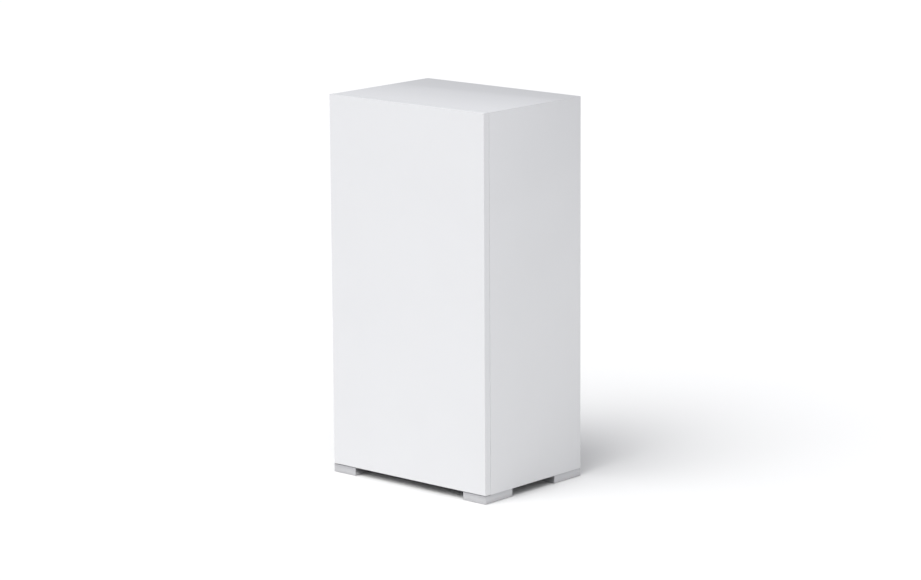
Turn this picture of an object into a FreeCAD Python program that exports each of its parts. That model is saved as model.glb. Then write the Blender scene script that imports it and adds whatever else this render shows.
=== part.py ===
import FreeCAD, Part
import math
import os

# A slim under-counter refrigerator: a plain box with a flush slab door and no handle, on four
# block feet. The door turns on two pins hidden at its left edge, seals with a gasket that sits in
# a recess behind the seam, and is pulled from a finger scoop in its bottom edge.
#
# Frame: millimetres, +Z up, origin at the centre of the base. The door faces -Y, +X is to the
# right of someone facing the door.

V = FreeCAD.Vector
UP = V(0, 0, 1)
BACK = V(0, 1, 0)
RIGHT = V(1, 0, 0)

# ---------------------------------------------------------------- driving dimensions
WIDTH = 446.0
DEPTH = 322.0
HEIGHT = 850.0

# Cabinet
SHEET = 1.2              # outer steel panels
BASE_SHEET = 2.0
HEM = 14.0               # rear edge of the outer panels, folded inwards
EDGE_ROUND = 1.0         # bend radius on the visible panel edges
VENT_SLOTS = 7           # cooling slots in the base plate
VENT_SLOT_LENGTH = 70.0
VENT_SLOT_WIDTH = 6.0
VENT_SLOT_PITCH = 12.0
SIDE_FOAM = 30.0
TOP_FOAM = 36.0
FLOOR_FOAM = 36.0
BACK_FOAM = 30.0
BACK_SHEET = 1.0
REAR_RECESS = 20.0       # space behind the back panel for the condenser
LINER = 1.8              # inner liner wall
RIM = 5.0                # front frame edge between the panels and the gasket recess
GASKET_SEAT = 7.2        # depth of the gasket recess behind the seam
FRAME_SHEET = 1.5

# Compressor bay
BAY_DEPTH = 140.0
BAY_HEIGHT = 185.0
BAY_SHEET = 1.2
BAY_FOAM = 30.0

# Feet
FOOT_HEIGHT = 18.0
FOOT_WIDTH = 64.0
FOOT_DEPTH = 90.0
PAD = 1.0                # rubber pad under each foot
PAD_INSET = 4.0
FOOT_SCREW = 2.5         # radius
FOOT_SCREW_HEAD = 4.5    # radius
FOOT_SCREW_HEAD_HEIGHT = 3.0
FOOT_COUNTERBORE = 4.5
FOOT_SCREW_PLACES = (0.3, 0.7)

# Door
DOOR_THICKNESS = 17.0
DOOR_GAP = 0.8           # seam between door and cabinet
DOOR_FLOOR_GAP = 1.0     # door above the front feet
DOOR_SHEET = 1.0
DOOR_LINER = 1.5
DOOR_HINGE_ROUND = 4.0   # back edge beside the pins, rounded so that it clears the cabinet
CAP_HEIGHT = 28.0        # moulded caps in the ends of the door
PLUG_DEPTH = 24.0        # insulated plug behind the door's back face
PLUG_HEIGHT_CLEARANCE = 4.0
PLUG_SWING_CLEARANCE = 2.0
GASKET_WIDTH = 14.0
GASKET_MARGIN = 3.0      # gasket to the liner's mouth
GASKET_CLEARANCE = 0.3

# Hinge
HINGE_INSET = 6.5        # pin axis from the door's left edge and from its front face
PIN_RADIUS = 2.5
PIN_CLEARANCE = 0.05
PIN_END_GAP = 1.5        # pin short of the far end of its bush
BUSH_WALL = 2.0
BUSH_LENGTH = 14.0
HINGE_PLATE = 2.5
HINGE_PLATE_DROP = 10.0  # underside of the top hinge plate below the top of the door
HINGE_NECK = 14.0
HINGE_FLANGE_WIDTH = 60.0
HINGE_GASKET_GAP = 2.5
HINGE_SCREW = 2.0        # radius
HINGE_SCREW_HEAD = 3.6   # radius
HINGE_SCREW_HEAD_HEIGHT = 1.8
HINGE_SCREW_PLACES = (0.45, 0.8)
POCKET_CLEARANCE = 1.0
EYE_CLEARANCE = 0.5
PIN_FOOT_DEPTH = 12.0
THRUST_WASHER = 0.7
WASHER_LAP = 1.0         # washer past the bush

# Finger scoop in the door's bottom edge
SCOOP_WIDTH = 120.0
SCOOP_HEIGHT = 18.0
SCOOP_LIP = 2.0
SCOOP_BACK = 2.5
SCOOP_FROM_EDGE = 90.0

# Door bins
BIN_STEP_CLEARANCE = 38.0
BIN_WALL = 2.5
BIN_FLOOR = 3.0
BIN_HEIGHTS = (92.0, 70.0, 70.0)
BIN_SWING_CLEARANCE = 5.0
BIN_FIRST = 14.0         # first bin above the bottom of the plug
HOOK_WIDTH = 16.0
HOOK_HEIGHT = 18.0
HOOK_DEPTH = 5.0
HOOK_CLEARANCE = 0.5
HOOK_DROP = 6.0          # free height in the bin's slot under the hook
HOOK_SPREAD = 0.55       # hook place as a share of the bin's half width
HOOK_LEVEL = 0.75        # top of the hook as a share of the bin's height

# Shelves
SHELF_COUNT = 2
GLASS = 4.0
SHELF_SIDE_CLEARANCE = 1.5
SHELF_BIN_GAP = 6.0
SHELF_BACK_GAP = 2.0
TRIM_DEPTH = 11.0
TRIM_WALL = 2.5
RIB_REACH = 8.0
RIB_HEIGHT = 5.0
RIB_TRIM_GAP = 2.0

# Chiller box, its flap and the tray under it
CHILLER_HEIGHT = 88.0
CHILLER_CEILING_GAP = 6.0
CHILLER_WALL = 1.5
CHILLER_SIDE_GAP = 10.0
CHILLER_BACK_GAP = 4.0
HANGER_RADIUS = 7.0
HANGER_INSET = 30.0
CHILLER_SET_BACK = 22.0  # chiller front behind the shelf fronts
BEZEL_DEPTH = 8.0
BEZEL_WALL = 4.0
FLAP_THICKNESS = 6.0
FLAP_PIVOT_DROP = 6.0
FLAP_PIVOT_FORWARD = 5.0 # pivot in front of the bezel
FLAP_PIN = 2.0
FLAP_PIN_LENGTH = 4.0
FLAP_END_GAP = 0.5
FLAP_SILL = 6.0
FLAP_GRIP_WIDTH = 70.0
FLAP_GRIP_DEPTH = 5.0
FLAP_GRIP_HEIGHT = 4.0
EAR_WALL = 4.5
EAR_RADIUS = 4.6
TRAY_HEIGHT = 14.0
TRAY_WALL = 2.0
TRAY_GAP = 8.0

# Thermostat housing, right of the chiller
HOUSING_WIDTH = 66.0
HOUSING_DEPTH = 88.0
HOUSING_HEIGHT = 62.0
HOUSING_WALL = 2.0
HOUSING_CHILLER_GAP = 9.0
KNOB_RADIUS = 17.0
KNOB_DEPTH = 14.0
KNOB_GAP = 1.0
KNOB_BAR = 7.0
KNOB_BAR_INSET = 1.5
SPINDLE_RADIUS = 3.0
SPINDLE_CLEARANCE = 0.1
SPINDLE_LENGTH = 18.0
SPINDLE_END_GAP = 4.0
THERMOSTAT_WIDTH = 40.0
THERMOSTAT_DEPTH = 30.0
THERMOSTAT_HEIGHT = 32.0
LENS_THICKNESS = 2.0
LENS_MARGIN = 12.0
LAMP_WIDTH = 32.0
LAMP_DEPTH = 40.0
LAMP_BOARD = 1.6
LAMP_BOARD_GAP = 4.0     # board above the lens
LAMP_EMITTER = 8.0
LAMP_EMITTER_HEIGHT = 1.5
LAMP_POST = 3.0          # radius

# Condenser and refrigerant pipes
TUBE_RADIUS = 2.4
TUBE_BEND = 12.0
CONDENSER_RUNS = 11
CONDENSER_TOP_GAP = 60.0
CONDENSER_BAY_GAP = 35.0
CONDENSER_SIDE_GAP = 14.0
WIRE_RADIUS = 0.8
WIRE_COUNT = 19
WIRE_OVERHANG = 12.0
WIRE_SIDE_GAP = 4.0
WIRE_TIE_OVERHANG = 2.0
CLIP_WIDTH = 18.0
CLIP_HEIGHT = 12.0
CLIP_INSET = 60.0
RISER_INSET = 20.0
RISER_BAY_DROP = 40.0    # lower end of the riser under the bay's ceiling
CAPILLARY_RADIUS = 1.0
DRIER_RADIUS = 7.5
DRIER_LENGTH = 72.0
DRIER_TAPER = 9.0
DRIER_SWAGE = 0.6        # drier's upper end past the tube
DRIER_BAY_DROP = 15.0
CAPILLARY_DROP = 22.0    # lowest run of the capillary under the drier
CAPILLARY_BEND = 9.0
CAPILLARY_GAP = 12.0     # capillary beside the suction pipe
SUCTION_GAP = 51.0       # suction pipe left of the pot
SUCTION_LEVEL = 85.0     # above the bottom of the pot
DISCHARGE_LEVEL = 93.0
DISCHARGE_SOCKET = 3.0   # pipe inside the pot's wall
PIPE_CHILLER_DROP = 40.0 # pipes into the chiller, under its top

# Compressor
POT_RADIUS = 55.0
POT_HEIGHT = 130.0
POT_ROUND = 28.0
POT_SEAM = 2.5
POT_SEAM_HEIGHT = 4.0
POT_OFFSET = 10.0        # pot centre right of the cabinet's centre
POT_BAY_GAP = 8.0
GROMMET_HEIGHT = 12.0
GROMMET_RADIUS = 9.0
BOLT_RADIUS = 3.0
BOLT_END = 8.0           # bolt above the plate
NUT_RADIUS = 6.0
NUT_HEIGHT = 4.0
PLATE = 3.0
PLATE_WIDTH = 164.0
PLATE_DEPTH = 104.0
PLATE_CORNER = 8.0
MOUNT_INSET = 13.0
TERMINAL_LAP = 6.0       # terminal box into the pot's outline
TERMINAL_REACH = 36.0
TERMINAL_WIDTH = 48.0
TERMINAL_HEIGHT = 50.0
TERMINAL_LEVEL = 22.0
PAN_HEIGHT = 20.0
PAN_WALL = 2.0
PAN_WIDTH = 150.0
PAN_DEPTH = 96.0
DRAIN_RADIUS = 6.0
DRAIN_WALL = 1.5
DRAIN_INSET = 18.0       # drain in front of the liner's back
DRAIN_PAN_GAP = 5.0
DRAIN_SHIFT = 26.0       # how far the drain steps aside in the foam, which traps cold air
DRAIN_BEND = 9.0

# Power inlet
INLET_WIDTH = 48.0
INLET_HEIGHT = 28.0
INLET_FLANGE = 3.0
INLET_BODY_WIDTH = 30.0
INLET_BODY_HEIGHT = 22.0
INLET_BODY_DEPTH = 24.0
INLET_SOCKET_WALL = 2.5
INLET_SOCKET_DEPTH = 18.0
INLET_PIN_LENGTH = 12.0
INLET_PIN_WIDTH = 2.0
INLET_PIN_HEIGHT = 4.0
INLET_PIN_PITCH = 7.0
INLET_PIN_RISE = 2.5
INLET_LEVEL = 52.0       # inlet centre above the base plate
INLET_FROM_SIDE = 54.0
INLET_INSET = 8.0        # flange face in front of the rear edges
BRACKET_SHEET = 1.5
BRACKET_SIDE = 4.0       # bracket past the inlet's flange
BRACKET_ABOVE = 6.0
BRACKET_TOE = 22.0
LEAD_RADIUS = 3.0
LEAD_BEND = 20.0

CUT_PAST = 1.0           # cutting solids run this far past an open face
NEAR = 1e-6              # tolerance for picking edges

# ---------------------------------------------------------------- planes worked out from them
LEFT = -WIDTH / 2
RIGHT_X = WIDTH / 2
FRONT = -DEPTH / 2
REAR = DEPTH / 2
BASE = FOOT_HEIGHT
TOP = HEIGHT
DOOR_BACK = FRONT + DOOR_THICKNESS
SEAM = DOOR_BACK + DOOR_GAP
SEAT = SEAM + GASKET_SEAT
SHELL_X = WIDTH / 2 - SHEET                   # inner face of the side panels
FLOOR_Z = BASE + BASE_SHEET                   # top of the base plate
ROOF_Z = TOP - SHEET                          # underside of the top panel
BACK_SHEET_FRONT = REAR - REAR_RECESS - BACK_SHEET
INNER_X = SHELL_X - SIDE_FOAM - LINER         # inner face of the liner's sides
INNER_FLOOR = FLOOR_Z + FLOOR_FOAM + LINER
INNER_ROOF = ROOF_Z - TOP_FOAM - LINER
INNER_BACK = BACK_SHEET_FRONT - BACK_FOAM - LINER
BAY_FRONT = REAR - BAY_DEPTH
BAY_TOP = FLOOR_Z + BAY_HEIGHT
STEP_FRONT = BAY_FRONT - BAY_SHEET - BAY_FOAM - LINER
STEP_TOP = BAY_TOP + BAY_SHEET + BAY_FOAM + LINER
FRAME_BACK = SEAT + LINER + FRAME_SHEET

DOOR_BOTTOM = BASE + DOOR_FLOOR_GAP
PLUG_BACK = DOOR_BACK + PLUG_DEPTH
PLUG_BOTTOM = INNER_FLOOR + PLUG_HEIGHT_CLEARANCE
PLUG_TOP = INNER_ROOF - PLUG_HEIGHT_CLEARANCE
AXIS_X = LEFT + HINGE_INSET
AXIS_Y = FRONT + HINGE_INSET
HINGE_PLATE_Z = TOP - HINGE_PLATE_DROP
BUSH_RADIUS = PIN_RADIUS + BUSH_WALL
POCKET_FLOOR = HINGE_PLATE_Z - POCKET_CLEARANCE
GASKET_X = INNER_X + GASKET_MARGIN
GASKET_LOW = INNER_FLOOR - GASKET_MARGIN
GASKET_HIGH = INNER_ROOF + GASKET_MARGIN
HINGE_FLANGE_LOW = GASKET_HIGH + GASKET_WIDTH + HINGE_GASKET_GAP
HINGE_FLANGE_HIGH = HINGE_PLATE_Z + HINGE_PLATE
BIN_BACK = STEP_FRONT - BIN_STEP_CLEARANCE


def swing_half_width(behind, clearance):
    """Half width of a door piece whose far edge, at depth `behind`, still turns past the liner."""
    room = INNER_X - AXIS_X - clearance
    return AXIS_X + math.sqrt(room ** 2 - (behind - AXIS_Y) ** 2)


PLUG_X = swing_half_width(PLUG_BACK, PLUG_SWING_CLEARANCE)
BIN_X = swing_half_width(BIN_BACK, BIN_SWING_CLEARANCE)

SHELF_FRONT = BIN_BACK + SHELF_BIN_GAP
SHELF_X = INNER_X - SHELF_SIDE_CLEARANCE
RIB_FRONT = SHELF_FRONT + TRIM_DEPTH + RIB_TRIM_GAP
CHILLER_TOP = INNER_ROOF - CHILLER_CEILING_GAP
CHILLER_BOTTOM = CHILLER_TOP - CHILLER_HEIGHT
CHILLER_FRONT = SHELF_FRONT + CHILLER_SET_BACK
CHILLER_BACK = INNER_BACK - CHILLER_BACK_GAP
TRAY_TOP = CHILLER_BOTTOM - TRAY_GAP
TRAY_BOTTOM = TRAY_TOP - TRAY_HEIGHT
HOUSING_RIGHT = INNER_X
HOUSING_LEFT = HOUSING_RIGHT - HOUSING_WIDTH
HOUSING_FRONT = CHILLER_FRONT - BEZEL_DEPTH
HOUSING_BACK = HOUSING_FRONT + HOUSING_DEPTH
HOUSING_TOP = CHILLER_TOP
HOUSING_BOTTOM = HOUSING_TOP - HOUSING_HEIGHT
CHILLER_LEFT = -INNER_X + CHILLER_SIDE_GAP
CHILLER_RIGHT = HOUSING_LEFT - HOUSING_CHILLER_GAP
BEZEL_FRONT = CHILLER_FRONT - BEZEL_DEPTH
PIVOT_Y = BEZEL_FRONT - FLAP_PIVOT_FORWARD
PIVOT_Z = CHILLER_TOP - FLAP_PIVOT_DROP
KNOB_X = (HOUSING_LEFT + HOUSING_RIGHT) / 2
KNOB_Z = (HOUSING_BOTTOM + HOUSING_TOP) / 2

TUBE_Y = (BACK_SHEET_FRONT + REAR) / 2
CONDENSER_X = SHELL_X - RISER_INSET - CONDENSER_SIDE_GAP
RISER_X = SHELL_X - RISER_INSET
CONDENSER_LOW = BAY_TOP + CONDENSER_BAY_GAP
CONDENSER_HIGH = TOP - CONDENSER_TOP_GAP
CONDENSER_PITCH = (CONDENSER_HIGH - CONDENSER_LOW) / (CONDENSER_RUNS - 1)
POT_Y = BAY_FRONT + POT_BAY_GAP + POT_RADIUS
POT_BASE = FLOOR_Z + GROMMET_HEIGHT + PLATE
POT_TOP = POT_BASE + POT_HEIGHT
DRAIN_Y = INNER_BACK - DRAIN_INSET
PIPE_Y = BACK_SHEET_FRONT - BACK_FOAM / 2
SUCTION_X = POT_OFFSET - POT_RADIUS - SUCTION_GAP
CAPILLARY_X = SUCTION_X - CAPILLARY_GAP
PIPE_TOP = CHILLER_TOP - PIPE_CHILLER_DROP
SUCTION_Z = POT_BASE + SUCTION_LEVEL
DISCHARGE_Z = POT_BASE + DISCHARGE_LEVEL
RISER_START = BAY_TOP - RISER_BAY_DROP
DRIER_TOP = BAY_TOP - DRIER_BAY_DROP
DRIER_BOTTOM = DRIER_TOP - DRIER_LENGTH
TERMINAL_X = POT_OFFSET + POT_RADIUS - TERMINAL_LAP
INLET_X = SHELL_X - INLET_FROM_SIDE
INLET_Z = FLOOR_Z + INLET_LEVEL
INLET_FACE = REAR - INLET_INSET
INLET_PLATE_BACK = INLET_FACE - INLET_FLANGE


# ---------------------------------------------------------------- shape helpers
def block(x0, x1, y0, y1, z0, z1):
    """A box from its six planes."""
    return Part.makeBox(x1 - x0, y1 - y0, z1 - z0, V(x0, y0, z0))


def rod(radius, start, direction, length):
    """A round bar from a point along a direction."""
    return Part.makeCylinder(radius, length, start, direction)


def fuse(shapes):
    """One shape from several that touch or overlap."""
    first, rest = shapes[0], shapes[1:]
    return first.fuse(rest).removeSplitter() if rest else first


def rounded(shape, radius, wanted):
    """The shape with the edges that `wanted` picks given a radius."""
    return shape.makeFillet(radius, [edge for edge in shape.Edges if wanted(edge)])


def middle(edge):
    """The centre of an edge's bounding box."""
    return edge.BoundBox.Center


def along(edge, axis):
    """True if a straight edge runs along an axis."""
    run = edge.Vertexes[-1].Point - edge.Vertexes[0].Point
    return run.cross(axis).Length < NEAR


def prism_x(outline, x0, x1):
    """A solid with a (y, z) outline, from x0 to x1."""
    points = [V(x0, y, z) for y, z in outline]
    face = Part.Face(Part.makePolygon(points + points[:1]))
    return face.extrude(V(x1 - x0, 0, 0))


def smooth_path(points, bend):
    """Straight runs through the points, joined by tangent arcs of one radius."""
    edges = []
    start = points[0]
    for before, corner, after in zip(points, points[1:], points[2:]):
        inward = (corner - before).normalize()
        outward = (after - corner).normalize()
        turn = inward.getAngle(outward)
        setback = bend * math.tan(turn / 2)
        arc_start = corner - inward * setback
        arc_end = corner + outward * setback
        towards_centre = (outward - inward).normalize()
        arc_middle = corner + towards_centre * bend * (1 / math.cos(turn / 2) - 1)
        edges.append(Part.LineSegment(start, arc_start).toShape())
        edges.append(Part.Arc(arc_start, arc_middle, arc_end).toShape())
        start = arc_end
    edges.append(Part.LineSegment(start, points[-1]).toShape())
    return Part.Wire(edges)


def pipe(points, radius, bend):
    """A round bar bent along the points."""
    if len(points) == 2:
        return rod(radius, points[0], points[1] - points[0], (points[1] - points[0]).Length)
    profile = Part.Wire([Part.makeCircle(radius, points[0], points[1] - points[0])])
    return smooth_path(points, bend).makePipeShell([profile], True, True)


# ---------------------------------------------------------------- cabinet
def side_panel(sign):
    """Flat outer side with its rear edge folded inwards; sign is -1 for left."""
    outer, inner, hem = sign * WIDTH / 2, sign * SHELL_X, sign * (WIDTH / 2 - HEM)
    sheet = block(min(outer, inner), max(outer, inner), SEAM, REAR, BASE, ROOF_Z)
    fold = block(min(outer, hem), max(outer, hem), REAR - SHEET, REAR, BASE, ROOF_Z)
    return fuse([sheet, fold])


def top_panel():
    """Top sheet over the side panels, its rear edge folded down between their hems."""
    sheet = block(LEFT, RIGHT_X, SEAM, REAR, ROOF_Z, TOP)
    fold = block(LEFT + HEM, RIGHT_X - HEM, REAR - SHEET, REAR, TOP - HEM, TOP)
    panel = fuse([sheet, fold])
    return rounded(panel, EDGE_ROUND, lambda e: along(e, BACK) and middle(e).z > TOP - NEAR)


def base_plate():
    """Bottom sheet with cooling slots under the compressor bay and clearance for the foot screws."""
    plate = block(-SHELL_X, SHELL_X, SEAM, REAR - SHEET, BASE, FLOOR_Z)
    first = POT_OFFSET - VENT_SLOT_PITCH * (VENT_SLOTS - 1) / 2
    y0, y1 = POT_Y - VENT_SLOT_LENGTH / 2, POT_Y + VENT_SLOT_LENGTH / 2
    cuts = []
    for i in range(VENT_SLOTS):
        x = first + i * VENT_SLOT_PITCH
        cuts.append(block(x - VENT_SLOT_WIDTH / 2, x + VENT_SLOT_WIDTH / 2, y0, y1, BASE, FLOOR_Z))
    cuts += [rod(FOOT_SCREW, V(x, y, BASE), UP, BASE_SHEET) for x, y in foot_screw_places()]
    return plate.cut(cuts)


def back_panel():
    """Sheet that closes the foam at the back, above the compressor bay."""
    back = BACK_SHEET_FRONT + BACK_SHEET
    return block(-SHELL_X, SHELL_X, BACK_SHEET_FRONT, back, BAY_TOP + BAY_SHEET, ROOF_Z)


def bay_ceiling_holes(z0, z1):
    """Holes for the suction pipe, the capillary and the drain, from z0 to z1."""
    return [
        rod(TUBE_RADIUS, V(SUCTION_X, PIPE_Y, z0), UP, z1 - z0),
        rod(CAPILLARY_RADIUS, V(CAPILLARY_X, PIPE_Y, z0), UP, z1 - z0),
        rod(DRAIN_RADIUS, V(POT_OFFSET + DRAIN_SHIFT, DRAIN_Y, z0), UP, z1 - z0),
    ]


def compressor_bay_shroud():
    """Bent sheet over and in front of the compressor, which holds the foam out of the bay."""
    front, back, high = BAY_FRONT - BAY_SHEET, BACK_SHEET_FRONT + BACK_SHEET, BAY_TOP + BAY_SHEET
    ceiling = block(-SHELL_X, SHELL_X, front, back, BAY_TOP, high)
    wall = block(-SHELL_X, SHELL_X, front, BAY_FRONT, FLOOR_Z, high)
    return fuse([ceiling, wall]).cut(bay_ceiling_holes(BAY_TOP, BAY_TOP + BAY_SHEET))


def liner_outline(grow):
    """Side view of the interior, (y, z), stepped over the compressor bay, grown by `grow`."""
    front, floor, roof = SEAT, INNER_FLOOR - grow, INNER_ROOF + grow
    step_y, step_z, back = STEP_FRONT + grow, STEP_TOP - grow, INNER_BACK + grow
    return [(front, floor), (step_y, floor), (step_y, step_z), (back, step_z), (back, roof), (front, roof)]


def liner_block(grow):
    """The interior as a solid, grown by `grow`."""
    return prism_x(liner_outline(grow), -INNER_X - grow, INNER_X + grow)


def front_frame():
    """Steel ring round the mouth: a rim at the seam and a recess that holds the liner's flange."""
    outer = block(-SHELL_X, SHELL_X, SEAM, FRAME_BACK, FLOOR_Z, ROOF_Z)
    x = SHELL_X - RIM
    recess = block(-x, x, SEAM, SEAT + LINER, FLOOR_Z + RIM, ROOF_Z - RIM)
    return outer.cut([recess, liner_block(LINER)] + hinge_screw_shanks())


def rib_levels():
    """Shelf places: each shelf's own and one halfway between each pair."""
    steps = 2 * (SHELF_COUNT + 1)
    spacing = (TRAY_BOTTOM - STEP_TOP) / steps
    return [STEP_TOP + spacing * i for i in range(1, steps + 1)]


def shelf_levels():
    """Underside of each glass shelf."""
    return rib_levels()[1:-1:2]


def shelf_ribs():
    """Ledges for the shelves and the tray, one on each side wall at each level."""
    x0, x1 = INNER_X - RIB_REACH, INNER_X
    right = [block(x0, x1, RIB_FRONT, INNER_BACK, level - RIB_HEIGHT, level) for level in rib_levels()]
    left = [block(-x1, -x0, RIB_FRONT, INNER_BACK, level - RIB_HEIGHT, level) for level in rib_levels()]
    return left + right


def inner_liner():
    """Vacuum-formed liner with a front flange and a drain; its ledges are separate solids."""
    x = SHELL_X - RIM
    flange = block(-x, x, SEAT, SEAT + LINER, FLOOR_Z + RIM, ROOF_Z - RIM)
    hollow = liner_block(0.0)
    drain = rod(DRAIN_RADIUS, V(POT_OFFSET, DRAIN_Y, STEP_TOP - LINER), UP, LINER)
    shell = liner_block(LINER).fuse(flange).cut([hollow, drain] + pipes() + hinge_screw_shanks())
    return Part.makeCompound(shell.Solids + shelf_ribs())


def pipes():
    """The two pipes that run through the foam, which cut their own channels in it."""
    return [suction_pipe(), capillary_tube()]


def insulation_foam():
    """Foam between the liner and the outer sheets, poured round the pipes and the drain."""
    outer = block(-SHELL_X, SHELL_X, FRAME_BACK, BACK_SHEET_FRONT, FLOOR_Z, ROOF_Z)
    bay = block(-SHELL_X, SHELL_X, BAY_FRONT - BAY_SHEET, REAR, FLOOR_Z, BAY_TOP + BAY_SHEET)
    return outer.cut([liner_block(LINER), bay, drain_channel(DRAIN_RADIUS)] + pipes())


# ---------------------------------------------------------------- feet
def foot_corners():
    """Name and lowest x and y of each foot, flush with the door face, the sides and the rear."""
    return {
        "front_left_foot": (LEFT, FRONT),
        "front_right_foot": (RIGHT_X - FOOT_WIDTH, FRONT),
        "rear_left_foot": (LEFT, REAR - FOOT_DEPTH),
        "rear_right_foot": (RIGHT_X - FOOT_WIDTH, REAR - FOOT_DEPTH),
    }


def foot_screw_places():
    """Two screws in each foot, under the base plate and clear of the hinge pin."""
    places = []
    for x, y in foot_corners().values():
        screw_y = max(y, SEAM) + (y + FOOT_DEPTH - max(y, SEAM)) / 2
        places += [(x + FOOT_WIDTH * share, screw_y) for share in FOOT_SCREW_PLACES]
    return places


def foot(x, y):
    """One block foot with counterbored screw holes and, where the hinge pin stands, its hole."""
    body = block(x, x + FOOT_WIDTH, y, y + FOOT_DEPTH, PAD, BASE)
    body = rounded(body, EDGE_ROUND, lambda e: along(e, UP))
    cuts = []
    for sx, sy in foot_screw_places():
        cuts.append(rod(FOOT_SCREW, V(sx, sy, PAD), UP, BASE))
        cuts.append(rod(FOOT_SCREW_HEAD, V(sx, sy, PAD), UP, FOOT_COUNTERBORE))
    cuts.append(rod(PIN_RADIUS, V(AXIS_X, AXIS_Y, BASE - PIN_FOOT_DEPTH), UP, PIN_FOOT_DEPTH))
    return body.cut(cuts)


def foot_screws():
    """Screws from each foot up into the base plate, their heads in the counterbores."""
    low = PAD + FOOT_COUNTERBORE - FOOT_SCREW_HEAD_HEIGHT
    screws = []
    for x, y in foot_screw_places():
        head = rod(FOOT_SCREW_HEAD, V(x, y, low), UP, FOOT_SCREW_HEAD_HEIGHT)
        shank = rod(FOOT_SCREW, V(x, y, low), UP, FLOOR_Z - low)
        screws.append(fuse([head, shank]))
    return Part.Compound(screws)


def foot_pads():
    """Thin rubber pads that the feet stand on."""
    pads = []
    for x, y in foot_corners().values():
        x1, y1 = x + FOOT_WIDTH - PAD_INSET, y + FOOT_DEPTH - PAD_INSET
        pads.append(block(x + PAD_INSET, x1, y + PAD_INSET, y1, 0.0, PAD))
    return Part.Compound(pads)


# ---------------------------------------------------------------- hinge
def hinge_screw_places():
    """Centres of the two screws on the front of the top hinge bracket's flange."""
    z = (HINGE_FLANGE_LOW + HINGE_FLANGE_HIGH) / 2
    y = SEAT - HINGE_PLATE
    return [V(AXIS_X + HINGE_FLANGE_WIDTH * share, y, z) for share in HINGE_SCREW_PLACES]


def hinge_screw_shanks():
    """The screws' shanks, through the bracket, the liner's flange and the frame."""
    length = HINGE_PLATE + LINER + FRAME_SHEET
    return [rod(HINGE_SCREW, place, BACK, length) for place in hinge_screw_places()]


def top_hinge_bracket():
    """Angle plate on the frame whose tongue reaches forward into the door's slot."""
    z0, z1 = HINGE_PLATE_Z, HINGE_PLATE_Z + HINGE_PLATE
    eye = rod(BUSH_RADIUS, V(AXIS_X, AXIS_Y, z0), UP, HINGE_PLATE)
    neck = block(AXIS_X, AXIS_X + HINGE_NECK, AXIS_Y, SEAT, z0, z1)
    x1 = AXIS_X + HINGE_FLANGE_WIDTH
    flange = block(AXIS_X, x1, SEAT - HINGE_PLATE, SEAT, HINGE_FLANGE_LOW, z1)
    pin_hole = rod(PIN_RADIUS, V(AXIS_X, AXIS_Y, z0), UP, HINGE_PLATE)
    return fuse([eye, neck, flange]).cut([pin_hole] + hinge_screw_shanks())


def top_hinge_screws():
    """Screws that hold the bracket to the frame."""
    screws = []
    for place, shank in zip(hinge_screw_places(), hinge_screw_shanks()):
        start = place - BACK * HINGE_SCREW_HEAD_HEIGHT
        head = rod(HINGE_SCREW_HEAD, start, BACK, HINGE_SCREW_HEAD_HEIGHT)
        screws.append(fuse([head, shank]))
    return Part.Compound(screws)


def hinge_pins():
    """Top pin riveted in the bracket, bottom pin pressed in the front left foot."""
    top_length = HINGE_PLATE + POCKET_CLEARANCE + BUSH_LENGTH - PIN_END_GAP
    top = rod(PIN_RADIUS, V(AXIS_X, AXIS_Y, HINGE_PLATE_Z + HINGE_PLATE - top_length), UP, top_length)
    bottom_length = PIN_FOOT_DEPTH + DOOR_FLOOR_GAP + BUSH_LENGTH - PIN_END_GAP
    bottom = rod(PIN_RADIUS, V(AXIS_X, AXIS_Y, BASE - PIN_FOOT_DEPTH), UP, bottom_length)
    return Part.Compound([top, bottom])


def hinge_thrust_washer():
    """Nylon washer round the bottom pin that carries the door."""
    outer = rod(BUSH_RADIUS + WASHER_LAP, V(AXIS_X, AXIS_Y, BASE), UP, THRUST_WASHER)
    return outer.cut(rod(PIN_RADIUS, V(AXIS_X, AXIS_Y, BASE), UP, THRUST_WASHER))


def hinge_bushes():
    """Plastic bushes in the ends of the door."""
    bore = PIN_RADIUS + PIN_CLEARANCE
    bushes = []
    for z in (POCKET_FLOOR - BUSH_LENGTH, DOOR_BOTTOM):
        sleeve = rod(BUSH_RADIUS, V(AXIS_X, AXIS_Y, z), UP, BUSH_LENGTH)
        bushes.append(sleeve.cut(rod(bore, V(AXIS_X, AXIS_Y, z), UP, BUSH_LENGTH)))
    return Part.Compound(bushes)


# ---------------------------------------------------------------- door
def hinge_pocket():
    """Slot in the top of the door, open to its back and its left, that the bracket turns in."""
    return block(
        LEFT - CUT_PAST,
        AXIS_X + HINGE_NECK + POCKET_CLEARANCE,
        AXIS_Y - BUSH_RADIUS - EYE_CLEARANCE,
        DOOR_BACK + CUT_PAST,
        POCKET_FLOOR,
        HINGE_PLATE_Z + HINGE_PLATE + POCKET_CLEARANCE,
    )


def scoop_block():
    """The finger scoop, open downwards."""
    right = RIGHT_X - SCOOP_FROM_EDGE
    return block(
        right - SCOOP_WIDTH,
        right,
        FRONT + DOOR_SHEET + SCOOP_LIP,
        DOOR_BACK - SCOOP_BACK,
        DOOR_BOTTOM - CUT_PAST,
        DOOR_BOTTOM + SCOOP_HEIGHT,
    )


def door_slab():
    """The door's outer form, with a larger round on the edge that turns beside the cabinet."""
    slab = block(LEFT, RIGHT_X, FRONT, DOOR_BACK, DOOR_BOTTOM, TOP)
    hinge_corner = V(LEFT, DOOR_BACK, (DOOR_BOTTOM + TOP) / 2)
    slab = rounded(slab, DOOR_HINGE_ROUND, lambda e: middle(e).isEqual(hinge_corner, NEAR))
    return rounded(slab, EDGE_ROUND, lambda e: e.BoundBox.YMax - FRONT < NEAR)


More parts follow.
